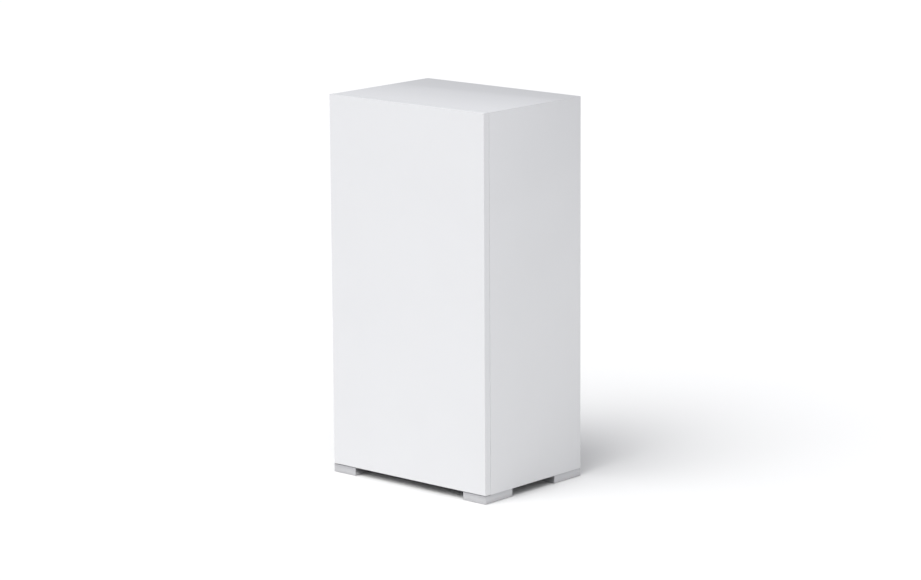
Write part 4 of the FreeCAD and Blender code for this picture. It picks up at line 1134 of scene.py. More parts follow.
@functools.cache
def tube_recipe() -> Recipe:
    """A tree that rounds a route's corners and draws a tube along it.

    Returns:
        The recipe.
    """
    recipe = Recipe("tube_along_route")
    radius, bend = recipe.size("Radius", "Float"), recipe.size("Bend", "Float")
    sides = recipe.size("Sides", "Int")
    route = recipe.node("FilletCurve", {"mode": "POLY"}, {
        "Curve": recipe.inlet.outputs[0], "Count": 7, "Radius": bend, "Limit Radius": True})
    ring = recipe.node("CurvePrimitiveCircle", {"mode": "RADIUS"}, {"Resolution": sides, "Radius": radius})
    tube = recipe.node("CurveToMesh", None, {
        "Curve": route.outputs[0], "Profile Curve": ring.outputs[0], "Fill Caps": True})
    recipe.close(tube.outputs[0])
    return recipe


@functools.cache
def row_recipe() -> Recipe:
    """A tree that lays copies of one shape along a line at an even step.

    Returns:
        The recipe.
    """
    recipe = Recipe("row_of_copies")
    count = recipe.size("Count", "Int")
    start, step = recipe.size("Start", "Vector"), recipe.size("Step", "Vector")
    inputs = {"Count": count, "Start Location": start, "Offset": step}
    line = recipe.node("MeshLine", {"mode": "OFFSET"}, inputs)
    recipe.repeat(line.outputs[0])
    return recipe


def point_cloud(points: Sequence[Sequence[float]]) -> bpy.types.Mesh:
    """A mesh of loose points.

    Args:
        points: The points.

    Returns:
        The mesh.
    """
    mesh = bpy.data.meshes.new("points")
    mesh.from_pydata([tuple(p) for p in points], [], [])
    return mesh


def copied(recipe: Recipe, shape: Form, finish: Finish, name: str, points: Sequence[Sequence[float]] = (),
           **values: Any) -> bpy.types.Mesh:
    """Copies of one shape, laid out by a recipe.

    Args:
        recipe: The recipe.
        shape: The shape, around the origin.
        finish: The copies' finish.
        name: The mesh's name.
        points: Points that the recipe starts from.
        values: The recipe's own inputs.

    Returns:
        The mesh.
    """
    model = scratch(shape.mesh("model"))
    mesh = recipe.grow(point_cloud(points), name, {**values, "Shape": model, "Finish": material_of(finish)})
    bpy.data.objects.remove(model)
    return mesh


def copies_at(points: Sequence[Sequence[float]], shape: Form, finish: Finish, name: str,
              turn: Point = ORIGIN, seed: int = 7) -> bpy.types.Mesh:
    """Copies of one shape, each on its point.

    Args:
        points: Where the copies stand.
        shape: The shape, around the origin.
        finish: Their finish.
        name: The mesh's name.
        turn: Largest turn about each axis, in radians.
        seed: Seed of the turns.

    Returns:
        The mesh.
    """
    return copied(repeat_recipe(), shape, finish, name, points, Turn=turn, Seed=seed)


def row_of(shape: Form, count: int, start: Point, step: Point, finish: Finish, name: str) -> bpy.types.Mesh:
    """Copies of one shape along a line.

    Args:
        shape: The shape, around the origin.
        count: Number of copies.
        start: Place of the first.
        step: From each copy to the next.
        finish: Their finish.
        name: The mesh's name.

    Returns:
        The mesh.
    """
    return copied(row_recipe(), shape, finish, name, Count=count, Start=start, Step=step)


def ring_of(shape: Form, count: int, radius: float, finish: Finish, name: str) -> bpy.types.Mesh:
    """Copies of one shape round a circle at the origin, facing outwards.

    Args:
        shape: The shape, around the origin, facing along X.
        count: Number of copies.
        radius: Radius of the circle.
        finish: Their finish.
        name: The mesh's name.

    Returns:
        The mesh.
    """
    return copied(ring_recipe(), shape, finish, name, Count=count, Radius=radius)


def serpentine(first: Point, across: Point, along: Point, runs: int) -> list[Vector]:
    """Corners of a route that goes to and fro.

    Args:
        first: Where it starts.
        across: From one end of a run to the other.
        along: From one run to the next.
        runs: Number of runs.

    Returns:
        The corners.
    """
    route = []
    for run in range(runs):
        start = Vector(first) + Vector(along) * run
        ends = [start, start + Vector(across)]
        route += ends if run % 2 == 0 else ends[::-1]
    return route


def tube_along(route: Sequence[Sequence[float]], radius: float, bend: float, finish: Finish, name: str,
               sides: int = 16) -> bpy.types.Mesh:
    """A tube with round bends.

    Args:
        route: Corners of its centre line.
        radius: Radius of the tube.
        bend: Radius of the bends.
        finish: Its finish.
        name: The mesh's name.
        sides: Faces around.

    Returns:
        The mesh.
    """
    curve = bpy.data.curves.new("route", "CURVE")
    curve.dimensions = "3D"
    line = curve.splines.new("POLY")
    line.points.add(len(route) - 1)
    for point, place in zip(line.points, route):
        point.co = (*place, 1.0)
    values = {"Radius": radius, "Bend": bend, "Sides": sides, "Finish": material_of(finish)}
    return tube_recipe().grow(curve, name, values)


# ---------------------------------------------------------------- assemblies
@dataclass
class Assembly:
    """A sub-assembly that rides on one body."""

    body: Body = Body.CABINET
    crease: float = 35.0

    def piece(self, name: str, source: Form | bpy.types.Mesh, finish: Finish, *replaced: str) -> None:
        """Put a mesh on the scene as a piece.

        Args:
            name: The piece's name.
            source: Its mesh, or a form to finish.
            finish: Its finish.
            replaced: Nodes that it stands for.
        """
        mesh = source.mesh(name) if isinstance(source, Form) else source
        mesh.name = name
        mesh.materials.clear()
        mesh.materials.append(material_of(finish))
        mesh.polygons.foreach_set("material_index", [0] * len(mesh.polygons))
        mesh.polygons.foreach_set("use_smooth", [True] * len(mesh.polygons))
        mesh.set_sharp_from_angle(angle=math.radians(self.crease))
        piece = scratch(mesh, name)
        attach(piece, self.body.value)
        if replaced:
            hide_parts(*replaced)
        LOG.info("%s: %d faces in %s", name, len(mesh.polygons), finish.slot)

    def soften(self, finish: Finish, radius: float, *nodes: str) -> None:
        """Replace nodes by copies with rounded edges.

        Args:
            finish: Their finish.
            radius: Radius of the edges.
            nodes: The nodes.
        """
        for node in nodes:
            self.piece(f"{node}_formed", softened(node, radius), finish, node)

    def screws(self, name: str, places: Sequence[Point], head: Form, seed: int, *replaced: str) -> None:
        """Drive screws that face along Y, each at its own turn.

        Args:
            name: The piece's name.
            places: Where the heads sit.
            head: One head.
            seed: Seed of the turns.
            replaced: Nodes that they stand for.
        """
        mesh = copies_at(places, head, ZINC, name, ANY_TURN_ABOUT_Y, seed)
        self.piece(name, mesh, ZINC, *replaced)

    def row(self, name: str, shape: Form, finish: Finish, count: int, start: Point, step: Point) -> None:
        """Lay a row of copies as one piece.

        Args:
            name: The piece's name.
            shape: The shape, around the origin.
            finish: The copies' finish.
            count: Number of copies.
            start: Place of the first.
            step: From each copy to the next.
        """
        self.piece(name, row_of(shape, count, start, step, finish, name), finish)

    def dress(self, finish: Finish, *nodes: str) -> None:
        """Give frame nodes their finish and leave their shape.

        Args:
            finish: The finish.
            nodes: The nodes.
        """
        for node in nodes:
            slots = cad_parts[node].material_slots
            for slot in slots:
                slot.material = material_of(finish)
            if not slots:
                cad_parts[node].data.materials.append(material_of(finish))
            LOG.info("%s: finished in %s", node, finish.slot)

    def build(self) -> None:
        """Build and finish the assembly's pieces; each assembly does it in its own way."""
        raise NotImplementedError


def screw_head(radius: float, height: float, facing: Axis, sign: int = 1) -> Form:
    """A pan head with a cross recess, around the origin, with its seat at 0.

    Args:
        radius: Radius of the head.
        height: Height of the head.
        facing: The axis that it faces along.
        sign: 1 or -1 along that axis.

    Returns:
        The head.
    """
    form = Form()
    top = [(radius * math.cos(math.radians(t)), sign * height * (0.35 + 0.65 * math.sin(math.radians(t))))
           for t in (0, 30, 60)]
    recess = [(0.3 * radius, sign * height * 0.97), (0.22 * radius, sign * height * 0.35),
              (0.0, sign * height * 0.3)]
    form.lathe([(0.0, 0.0), (radius, 0.0)] + top + recess, ORIGIN, facing, 12)
    across = [i for i in range(3) if i != facing]
    arm, half_slot = 0.34 * radius, 0.07 * radius
    for long_way, short_way in (across, across[::-1]):
        low, high = [0.0] * 3, [0.0] * 3
        low[long_way], high[long_way] = -arm, arm
        low[short_way], high[short_way] = -half_slot, half_slot
        low[facing], high[facing] = sorted((sign * height * 0.3, sign * height * 0.6))
        form.block(low, high)
    return form


@dataclass
class Shell(Assembly):
    """Outer sheets, the frame round the mouth, the base and the back."""

    edge: float = 0.5 * MM
    screw_radius: float = 3.6 * MM
    screw_height: float = 1.8 * MM
    screw_inset: float = 20.0 * MM
    screws_up: int = 6
    screws_across: int = 5
    bead_width: float = 7.0 * MM
    bead_height: float = 1.6 * MM
    bead_margin: float = 60.0 * MM
    beads: int = 5

    def build(self) -> None:
        """Round the sheets' edges, press the beads and drive the screws of the back."""
        self.soften(WHITE_ENAMEL, self.edge, "left_side_panel", "right_side_panel", "top_panel")
        self.soften(FRAME_ENAMEL, self.edge, "front_frame")
        # The base plate gets the darkened galvanised copy, painted shade under the cabinet.
        self.soften(SHADED_BASE_SHEET, 0.3 * MM, "base_plate")
        self.soften(GALVANISED, 0.3 * MM, "compressor_bay_shroud")
        self.dress(GREY_ENAMEL, "back_panel")
        self._press_beads()
        self._drive_screws()

    def _press_beads(self) -> None:
        """Stiffening beads that stand up on the back sheet."""
        low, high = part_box("back_panel")
        half = (high.z - low.z) / 2 - self.bead_margin
        bead = Form().block((-self.bead_width / 2, -self.bead_height, -half),
                            (self.bead_width / 2, self.bead_height, half), 0.95 * self.bead_height, 3)
        step = (high.x - low.x) / 2 / (self.beads + 1)
        start = (-step * (self.beads - 1) / 2, high.y, (low.z + high.z) / 2)
        self.row("back_beads", bead, GREY_ENAMEL, self.beads, start, (step, 0.0, 0.0))

    def _drive_screws(self) -> None:
        """Screws along the four edges of the back sheet."""
        low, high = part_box("back_panel")
        left, right = low.x + self.screw_inset, high.x - self.screw_inset
        bottom, top = low.z + self.screw_inset / 2, high.z - self.screw_inset
        up = [bottom + (top - bottom) * i / (self.screws_up - 1) for i in range(self.screws_up)]
        gaps = self.screws_across + 1
        across = [left + (right - left) * i / gaps for i in range(1, gaps)]
        places = [(x, high.y, z) for x in (left, right) for z in up]
        places += [(x, high.y, z) for x in across for z in (bottom, top)]
        self.screws("back_screws", places, screw_head(self.screw_radius, self.screw_height, Axis.Y), 11)


@dataclass
class Feet(Assembly):
    """Four block feet with their pads and screws."""

    edge: float = 1.1 * MM

    def build(self) -> None:
        """Round the blocks and finish the pads and the screws."""
        blocks = [f"{end}_{side}_foot" for end in ("front", "rear") for side in ("left", "right")]
        self.soften(FOOT_METAL, self.edge, *blocks)
        self.soften(BLACK_RUBBER, 0.3 * MM, "foot_pads")
        self.soften(ZINC, 0.0, "foot_screws")


@dataclass
class Door(Assembly):
    """The slab door: its sheet, end caps, formed back and magnetic seal."""

    body: Body = Body.DOOR
    plug_draft: float = 3.0 * MM
    plug_corner: float = 16.0 * MM
    plug_round: float = 4.0 * MM
    plug_foot: float = 14.8 * MM
    plug_head: float = 15.0 * MM
    flange_corner: float = 2.0 * MM
    least_corner: float = 4.0 * MM
    rim: float = 22.0 * MM
    dish: float = 5.0 * MM
    boss_width: float = 16.0 * MM
    boss_height: float = 18.0 * MM
    boss_reach: float = 5.0 * MM
    boss_level: float = 0.75
    boss_spread: float = 0.55
    core_gap: float = 9.0 * MM
    seal_width: float = 14.0 * MM

    def build(self) -> None:
        """Build the door from its face to its seal."""
        self.soften(WHITE_ENAMEL, 0.0, "door_outer_panel")
        self.soften(WHITE_PLASTIC, 0.4 * MM, "door_top_cap", "door_bottom_cap")
        self.piece("door_foam_core", self._core(), FOAM, "door_foam")
        self.soften(NYLON, 0.0, "hinge_bushes")
        self.piece("door_back", self._back(), LINER_PLASTIC, "door_liner")
        self.piece("bin_bosses", self._bosses(), LINER_PLASTIC)
        self.piece("seal", self._seal(), GASKET_RUBBER, "door_gasket")

    def _core(self) -> bpy.types.Mesh:
        """The foam, its plug drawn in to fit under the formed back.

        Returns:
            The mesh.
        """
        mesh = softened("door_foam", 0.0)
        low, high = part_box("door_foam")
        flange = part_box("door_liner")[0].y
        middle = (low + high) / 2
        hair, inside = 0.1 * MM, flange + 1.0 * MM
        half_width = max(v.co.x for v in mesh.vertices if v.co.y > inside)
        for vertex in mesh.vertices:
            place = vertex.co
            if place.y > flange - hair and abs(place.x) < half_width + hair:
                place.x *= 1.0 - self.core_gap / half_width
                place.z -= math.copysign(self.core_gap, place.z - middle.z)
                if place.y > inside:
                    place.y -= self.dish + self.core_gap
        return mesh

    def _back(self) -> Form:
        """The formed back: a flange, a plug with drafted walls, and a dished middle.

        Returns:
            The form.
        """
        low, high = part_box("door_liner")
        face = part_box("door_gasket")[0].y
        top = high.y - self.boss_reach
        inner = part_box("drip_tray")[1].x - 2.0 * MM
        plug_low, plug_high = low.z + self.plug_foot, high.z - self.plug_head
        round_by, turns = self.plug_round, [math.pi / 2 * i / 4 for i in range(5)]
        profile = [(round_by * (1.0 - math.sin(t)), face + round_by * (1.0 - math.cos(t))) for t in turns]
        profile += [(-self.plug_draft + round_by * (math.cos(t) - 1.0), top + round_by * (math.sin(t) - 1.0))
                    for t in turns]
        profile += [(-self.rim, top), (-self.rim - self.dish, top - 0.4 * self.dish),
                    (-self.rim - 2 * self.dish, top - self.dish)]
        flange = rounded_rectangle((low.x, low.z), (high.x, high.z), self.flange_corner)
        loops = [lifted(flange, Axis.Y, y) for y in (low.y, face)]
        for grow, y in profile:
            corner = max(self.plug_corner + grow, self.least_corner)
            outline = rounded_rectangle((-inner - grow, plug_low - grow), (inner + grow, plug_high + grow),
                                        corner)
            loops.append(lifted(outline, Axis.Y, y))
        return Form().loft(loops)

    def _bosses(self) -> bpy.types.Mesh:
        """Bosses on the plug that the bins hang on.

        Returns:
            The mesh.
        """
        low_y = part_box("door_liner")[1].y
        reach = self.boss_reach + self.dish + 1.0 * MM
        half = self.boss_width / 2
        boss = Form().block((-half, -reach, -self.boss_height), (half, 0.0, 0.0), 1.5 * MM, 3)
        places = []
        for node in BINS:
            low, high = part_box(node)
            top = low.z + (high.z - low.z) * self.boss_level
            places += [(side * high.x * self.boss_spread, low_y, top) for side in SIDES]
        return copies_at(places, boss, LINER_PLASTIC, "bin_bosses")

    def _seal(self) -> Form:
        """The seal's bellows drawn round the door, mitred at the corners.

        Returns:
            The form.
        """
        low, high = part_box("door_gasket")
        width, depth = self.seal_width, high.y - low.y
        half = [(0.06, 0.0), (0.06, 0.14), (0.2, 0.26), (0.12, 0.4), (0.05, 0.56), (0.03, 0.84), (0.1, 1.0)]
        profile = half + [(1.0 - u, v) for u, v in reversed(half)]
        loops = []
        for u, v in profile:
            x, bottom, top = high.x - width * u, low.z + width * u, high.z - width * u
            y = low.y + depth * v
            loops.append([(x, y, top), (-x, y, top), (-x, y, bottom), (x, y, bottom)])
        return Form().loft(loops, joined=True)


@dataclass
class DoorBins(Assembly):
    """Clear bins that hang on the door's bosses, each with a white rail."""

    body: Body = Body.DOOR
    wall: float = 2.0 * MM
    corner: float = 10.0 * MM
    draft: float = 3.0 * MM
    lip: float = 1.5 * MM
    stand_off: float = 5.6 * MM
    rib_step: float = 18.0 * MM
    rail_height: float = 9.0 * MM
    hanger_level: float = 0.75
    hanger_spread: float = 0.55

    def build(self) -> None:
        """Mould the bins, their ribs, rails and hangers."""
        for node in BINS:
            low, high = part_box(node)
            low.y += self.stand_off
            self.piece(f"{node}_shell", self._shell(low, high), CLEAR_PLASTIC, node)
            self._ribs(low, high, f"{node}_ribs")
            self.piece(f"{node}_rail", self._rail(low, high), WHITE_PLASTIC)
            self.piece(f"{node}_hangers", self._hangers(low, high), CLEAR_PLASTIC)

    def _shell(self, low: Vector, high: Vector) -> Form:
        """A drafted tub with a rolled lip.

        Args:
            low: Lowest corner.
            high: Highest corner.

        Returns:
            The form.
        """
        foot, tall = self.draft + self.lip, high.z - low.z
        outer = [(foot + 4.0 * MM, 0.0), (foot + 1.2 * MM, 1.0 * MM), (foot, 4.0 * MM),
                 (self.lip + 0.6 * MM, tall - 5.0 * MM), (0.2 * MM, tall - 4.0 * MM), (0.0, tall - 1.0 * MM),
                 (0.8 * MM, tall)]
        inner = [(self.lip + self.wall - 0.4 * MM, tall), (self.lip + self.wall, tall - 1.0 * MM),
                 (foot + self.wall, 8.0 * MM), (foot + self.wall + 1.5 * MM, 4.0 * MM),
                 (foot + self.wall + 6.0 * MM, self.wall + 0.6 * MM)]
        return tub(low, high, outer + inner, self.corner, 0.5, 2.0 * MM)

    def _ribs(self, low: Vector, high: Vector, name: str) -> None:
        """Upright ribs inside the front wall.

        Args:
            low: Lowest corner.
            high: Highest corner.
            name: The piece's name.
        """
        count = int((high.x - low.x - 4 * self.corner) / self.rib_step)
        inset = self.draft + self.lip + self.wall
        tall = high.z - low.z - self.rail_height - 14.0 * MM
        rib = Form().block((-0.7 * MM, -1.0 * MM, 0.0), (0.7 * MM, 1.0 * MM, tall), 0.5 * MM, 2)
        start = (-self.rib_step * (count - 1) / 2, high.y - inset, low.z + 8.0 * MM)
        self.row(name, rib, CLEAR_PLASTIC, count, start, (self.rib_step, 0.0, 0.0))

    def _rail(self, low: Vector, high: Vector) -> Form:
        """White rail clipped over the front lip.

        Args:
            low: Lowest corner.
            high: Highest corner.

        Returns:
            The form.
        """
        half = (high.x - low.x) / 2 - self.corner
        back = high.y - self.wall - 2 * self.lip
        return Form().block((-half, back, high.z - self.rail_height), (half, high.y, high.z), 1.2 * MM, 3)

    def _hangers(self, low: Vector, high: Vector) -> Form:
        """Cheeks and bridges on the back that drop over the bosses.

        Args:
            low: Lowest corner.
            high: Highest corner.

        Returns:
            The form.
        """
        form = Form()
        top = low.z + self.hanger_level * (high.z - low.z)
        back, front = low.y - self.stand_off + 0.2 * MM, low.y + self.lip + 1.0 * MM
        near, far, edge = 8.5 * MM, 10.5 * MM, 0.5 * MM
        for side in SIDES:
            x = side * high.x * self.hanger_spread
            for cheek in SIDES:
                left, right = sorted((x + cheek * near, x + cheek * far))
                form.block((left, back, top - 22.0 * MM), (right, front, top + 2.5 * MM), edge, 2)
            form.block((x - far, back, top + edge), (x + far, front, top + 2.5 * MM), edge, 2)
        return form


@dataclass
class Hinge(Assembly):
    """The top bracket, the pins and their washer."""

    def build(self) -> None:
        """Round the bracket and set its screws."""
        self.soften(ZINC, 0.4 * MM, "top_hinge_bracket")
        self.soften(ZINC, 0.0, "hinge_pins")
        self.soften(NYLON, 0.15 * MM, "hinge_thrust_washer")
        low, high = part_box("top_hinge_screws")
        radius = (high.z - low.z) / 2
        seat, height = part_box("top_hinge_bracket")[1].y - 2.5 * MM, 1.8 * MM
        places = [(x, seat, (low.z + high.z) / 2) for x in (low.x + radius, high.x - radius)]
        self.screws("hinge_screws", places, screw_head(radius, height, Axis.Y, -1), 5, "top_hinge_screws")


@dataclass
class Interior(Assembly):
    """The formed liner with its ledges, the glass shelves and the drip tray."""

    half_width: float = 190.0 * MM
    floor: float = 57.8 * MM
    step_front: float = -12.0 * MM
    wall: float = 1.8 * MM
    corner: float = 12.0 * MM
    mouth_round: float = 3.5 * MM
    flange_corner: float = 3.0 * MM
    ledge_height: float = 5.0 * MM
    ledge_reach: float = 8.0 * MM
    ledge_front: float = -31.0 * MM
    tray_corner: float = 7.0 * MM
    tray_ribs: int = 9
    strainer_fingers: int = 12
    strainer_radius: float = 7.4 * MM

    def build(self) -> None:
        """Form the liner and fit it out."""
        self.piece("liner", self._liner(), LINER_PLASTIC, "inner_liner")
        self.piece("insulation", self._insulation(), FOAM, "insulation_foam")
        self.piece("liner_ledges", self._ledges(), LINER_PLASTIC)
        self.soften(SHELF_GLASS, 0.5 * MM, "shelf_1_glass", "shelf_2_glass")
        self.soften(WHITE_PLASTIC, 1.0 * MM, "shelf_1_trim", "shelf_2_trim")
        self.piece("melt_tray", self._tray(), CLEAR_PLASTIC, "drip_tray")
        self.piece("drain_strainer", self._strainer(), WHITE_PLASTIC)

    def _insulation(self) -> bpy.types.Mesh:
        """The foam, rounded under the liner where it goes over the step.

        Returns:
            The mesh.
        """
        shape = merged("insulation_foam")
        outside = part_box("inner_liner")[1].x
        over = [edge for edge in shape.edges if edge.is_convex and edge.calc_length() > self.half_width
                and all(abs(v.co.x) < outside - self.wall and abs(v.co.y) < outside / 2 for v in edge.verts)]
        round_edges(shape, over, self.corner, 4, clamped=False)
        return mesh_of(shape, "insulation")

    def _side_view(self) -> list[tuple[float, float]]:
        """The space inside, from the side, as (y, z), drawn forward past the mouth.

        Returns:
            The outline.
        """
        low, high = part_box("inner_liner")
        front, back = low.y - 3 * self.corner, high.y - self.wall
        roof, step_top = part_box("chiller_hangers")[1].z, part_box("drain_tube")[1].z
        return [(front, self.floor), (self.step_front, self.floor), (self.step_front, step_top),
                (back, step_top), (back, roof), (front, roof)]

    def _liner(self) -> bpy.types.Mesh:
        """One sheet drawn into the space, over the step, with a flange round the mouth.

        Returns:
            The mesh.
        """
        low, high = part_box("inner_liner")
        cut = low.y + 2 * self.mouth_round
        view = self._side_view()
        space = Form().loft([lifted(view, Axis.X, x) for x in (-self.half_width, self.half_width)]).bm
        round_edges(space, space.edges[:], self.corner, 5)
        bmesh.ops.bisect_plane(space, geom=space.verts[:] + space.edges[:] + space.faces[:],
                               plane_co=(0.0, cut, 0.0), plane_no=(0.0, 1.0, 0.0), clear_inner=True)
        steps = 5
        flange_edge = rounded_rectangle((low.x, low.z), (high.x, high.z), self.flange_corner, steps)
        loops = [lifted(flange_edge, Axis.Y, low.y)]
        turns = [math.pi / 2 * i / 4 for i in range(5)]
        lip = [(self.mouth_round * (1.0 - math.sin(t)), low.y + self.mouth_round * (1.0 - math.cos(t)))
               for t in turns]
        roof = view[-1][1]
        for grow, y in lip + [(0.0, cut)]:
            outline = rounded_rectangle((-self.half_width - grow, self.floor - grow),
                                        (self.half_width + grow, roof + grow), self.corner + grow, steps)
            loops.append(lifted(outline, Axis.Y, y))
        shape = Form().take(space).loft(loops, capped=False).bm
        bmesh.ops.remove_doubles(shape, verts=shape.verts[:], dist=0.1 * MM)
        bmesh.ops.recalc_face_normals(shape, faces=shape.faces)
        flange = min(shape.faces, key=lambda face: face.calc_center_median().y)
        if flange.normal.y > 0.0:
            bmesh.ops.reverse_faces(shape, faces=shape.faces[:])
        return thickened(shape, self.wall, "liner")

    def _ledges(self) -> bpy.types.Mesh:
        """Moulded ledges on both side walls.

        Returns:
            The mesh.
        """
        first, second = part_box("shelf_1_glass")[0].z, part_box("shelf_2_glass")[0].z
        pitch = (second - first) / 2
        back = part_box("inner_liner")[1].y - self.wall
        levels = [first + pitch * i for i in range(-1, 5)]
        half = self.ledge_reach / 2 + 1.0 * MM
        ledge = Form().block((-half, self.ledge_front, -self.ledge_height), (half, back + 1.0 * MM, 0.0),
                             1.8 * MM, 3)
        reach = self.half_width - self.ledge_reach + half
        places = [(side * reach, 0.0, level) for side in SIDES for level in levels]
        return copies_at(places, ledge, LINER_PLASTIC, "liner_ledges")

    def _tray(self) -> Form:
        """Shallow tray with a rounded rim and a ribbed floor.

        Returns:
            The form.
        """
        low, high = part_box("drip_tray")
        tall = high.z - low.z
        outside = [(3.0 * MM, 0.0), (1.0 * MM, 0.6 * MM), (0.4 * MM, 3.0 * MM), (0.0, tall - 1.0 * MM),
                   (0.5 * MM, tall)]
        inside = [(1.8 * MM, tall), (2.2 * MM, tall - 1.0 * MM), (2.8 * MM, 4.0 * MM), (5.0 * MM, 2.2 * MM)]
        form = tub(low, high, outside + inside, self.tray_corner)
        for i in range(self.tray_ribs):
            x = low.x + (high.x - low.x) * (i + 1) / (self.tray_ribs + 1)
            form.block((x - 1.0 * MM, low.y + 14.0 * MM, low.z + 1.5 * MM),
                       (x + 1.0 * MM, high.y - 14.0 * MM, low.z + 3.4 * MM), 0.6 * MM, 2)
        return form

    def _strainer(self) -> bpy.types.Mesh:
        """A ring of fingers that keeps scraps out of the drain.

        Returns:
            The mesh.
        """
        low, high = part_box("drain_tube")
        finger = Form().block((-1.2 * MM, -0.7 * MM, -0.8 * MM), (1.2 * MM, 0.7 * MM, 1.6 * MM), 0.5 * MM, 2)
        mesh = ring_of(finger, self.strainer_fingers, self.strainer_radius, WHITE_PLASTIC, "drain_strainer")
        mesh.transform(Matrix.Translation((low.x + 6.0 * MM, middle_of("drain_tube").y, high.z)))
        return mesh


@dataclass
class Chiller(Assembly):
    """The evaporator box with its channels, front frame and hangers."""

    channel: float = 2.0 * MM
    bend: float = 7.0 * MM
    wall: float = 1.5 * MM
    margin: float = 16.0 * MM
    runs: int = 7

    def build(self) -> None:
        """Fold the box and press the channels into its walls."""
        self.soften(ALUMINIUM, 0.6 * MM, "chiller_box")
        self.soften(WHITE_PLASTIC, 1.1 * MM, "chiller_bezel")
        self.soften(WHITE_PLASTIC, 0.5 * MM, "chiller_hangers")
        low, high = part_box("chiller_box")
        wall = self.wall / 2
        size = high - low - Vector((2 * self.margin,) * 3)
        corner = low + Vector((self.margin,) * 3)
        step_y, step_z = size.y / (self.runs - 1), size.z / 2
        for name, level in (("floor", low.z + wall), ("roof", high.z - wall)):
            route = serpentine((corner.x, corner.y, level), (size.x, 0.0, 0.0), (0.0, step_y, 0.0), self.runs)
            self._channel(name, route)
        for name, level in (("left", low.x + wall), ("right", high.x - wall)):
            route = serpentine((level, corner.y, corner.z), (0.0, size.y, 0.0), (0.0, 0.0, step_z), 3)
            self._channel(name, route)

    def _channel(self, name: str, route: list[Vector]) -> None:
        """One raised channel.

        Args:
            name: The wall that it is in.
            route: Its route.
        """
        mesh = tube_along(route, self.channel, self.bend, ALUMINIUM, f"channel_{name}", 10)
        self.piece(f"channel_{name}", mesh, ALUMINIUM)


@dataclass
class ChillerFlap(Assembly):
    """The flap in front of the evaporator."""

    body: Body = Body.FLAP
    ribs: int = 8
    rib_step: float = 6.0 * MM
    rib_inset: float = 22.0 * MM

    def build(self) -> None:
        """Round the flap and raise its ribs."""
        self.soften(WHITE_PLASTIC, 0.8 * MM, "chiller_flap")
        low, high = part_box("chiller_flap")
        face = high.y - 6.0 * MM
        half = (high.x - low.x) / 2 - self.rib_inset
        rib = Form().block((-half, -0.6 * MM, -1.1 * MM), (half, 0.6 * MM, 1.1 * MM), 0.55 * MM, 3)
        middle = middle_of("chiller_flap")
        start = (middle.x, face, middle.z + 4.0 * MM - self.rib_step * (self.ribs - 1) / 2)
        self.row("flap_ribs", rib, WHITE_PLASTIC, self.ribs, start, (0.0, 0.0, self.rib_step))


@dataclass
class Controls(Assembly):
    """The housing with the thermostat, its dial and the lamp."""

    marks: int = 7
    mark_ring: float = 21.5 * MM
    mark_height: float = 0.3 * MM
    sweep: float = 270.0
    louvres: int = 9
    louvre_step: float = 6.0 * MM
    lens_ribs: int = 15

    def build(self) -> None:
        """Dress the housing and what it holds."""
        self.soften(WHITE_PLASTIC, 1.0 * MM, "thermostat_housing")
        self.soften(BLACK_PLASTIC, 0.5 * MM, "thermostat")
        self.dress(BOARD, "lamp_board")
        self.soften(LENS_PLASTIC, 0.3 * MM, "lamp_lens")
        self._scale()
        self._louvres()
        self._lens_ribs()

    def _scale(self) -> None:
        """Marks round the dial that grow with the setting."""
        knob = middle_of("thermostat_knob")
        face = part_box("thermostat_housing")[0].y
        form = Form()
        for i in range(self.marks):
            turn = math.radians(-self.sweep / 2 + self.sweep * i / (self.marks - 1))
            half = (0.8 + 0.28 * i) * MM
            x, z = knob.x + self.mark_ring * math.sin(turn), knob.z + self.mark_ring * math.cos(turn)
            form.block((x - half, face - self.mark_height, z - half),
                       (x + half, face + self.mark_height, z + half), 0.25 * MM, 2)
        self.piece("dial_scale", form, GREY_PLASTIC)

    def _louvres(self) -> None:
        """Raised louvres on the housing's free side."""
        low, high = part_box("thermostat_housing")
        bar = Form().block((-0.8 * MM, -1.2 * MM, -20.0 * MM), (0.8 * MM, 1.2 * MM, 20.0 * MM), 0.6 * MM, 2)
        step = self.louvre_step
        start = (low.x, (low.y + high.y) / 2 - step * (self.louvres - 1) / 2, (low.z + high.z) / 2)
        self.row("housing_louvres", bar, WHITE_PLASTIC, self.louvres, start, (0.0, step, 0.0))

    def _lens_ribs(self) -> None:
        """Prisms under the lens that spread the lamp's light."""
        low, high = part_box("lamp_lens")
        half = (high.x - low.x) / 2 - 1.5 * MM
        rib = Form().block((-half, -1.2 * MM, -0.5 * MM), (half, 1.2 * MM, 0.5 * MM), 0.45 * MM, 2)
        step = (high.y - low.y - 6.0 * MM) / (self.lens_ribs - 1)
        start = (middle_of("lamp_lens").x, low.y + 3.0 * MM, low.z)
        self.row("lens_ribs", rib, LENS_PLASTIC, self.lens_ribs, start, (0.0, step, 0.0))


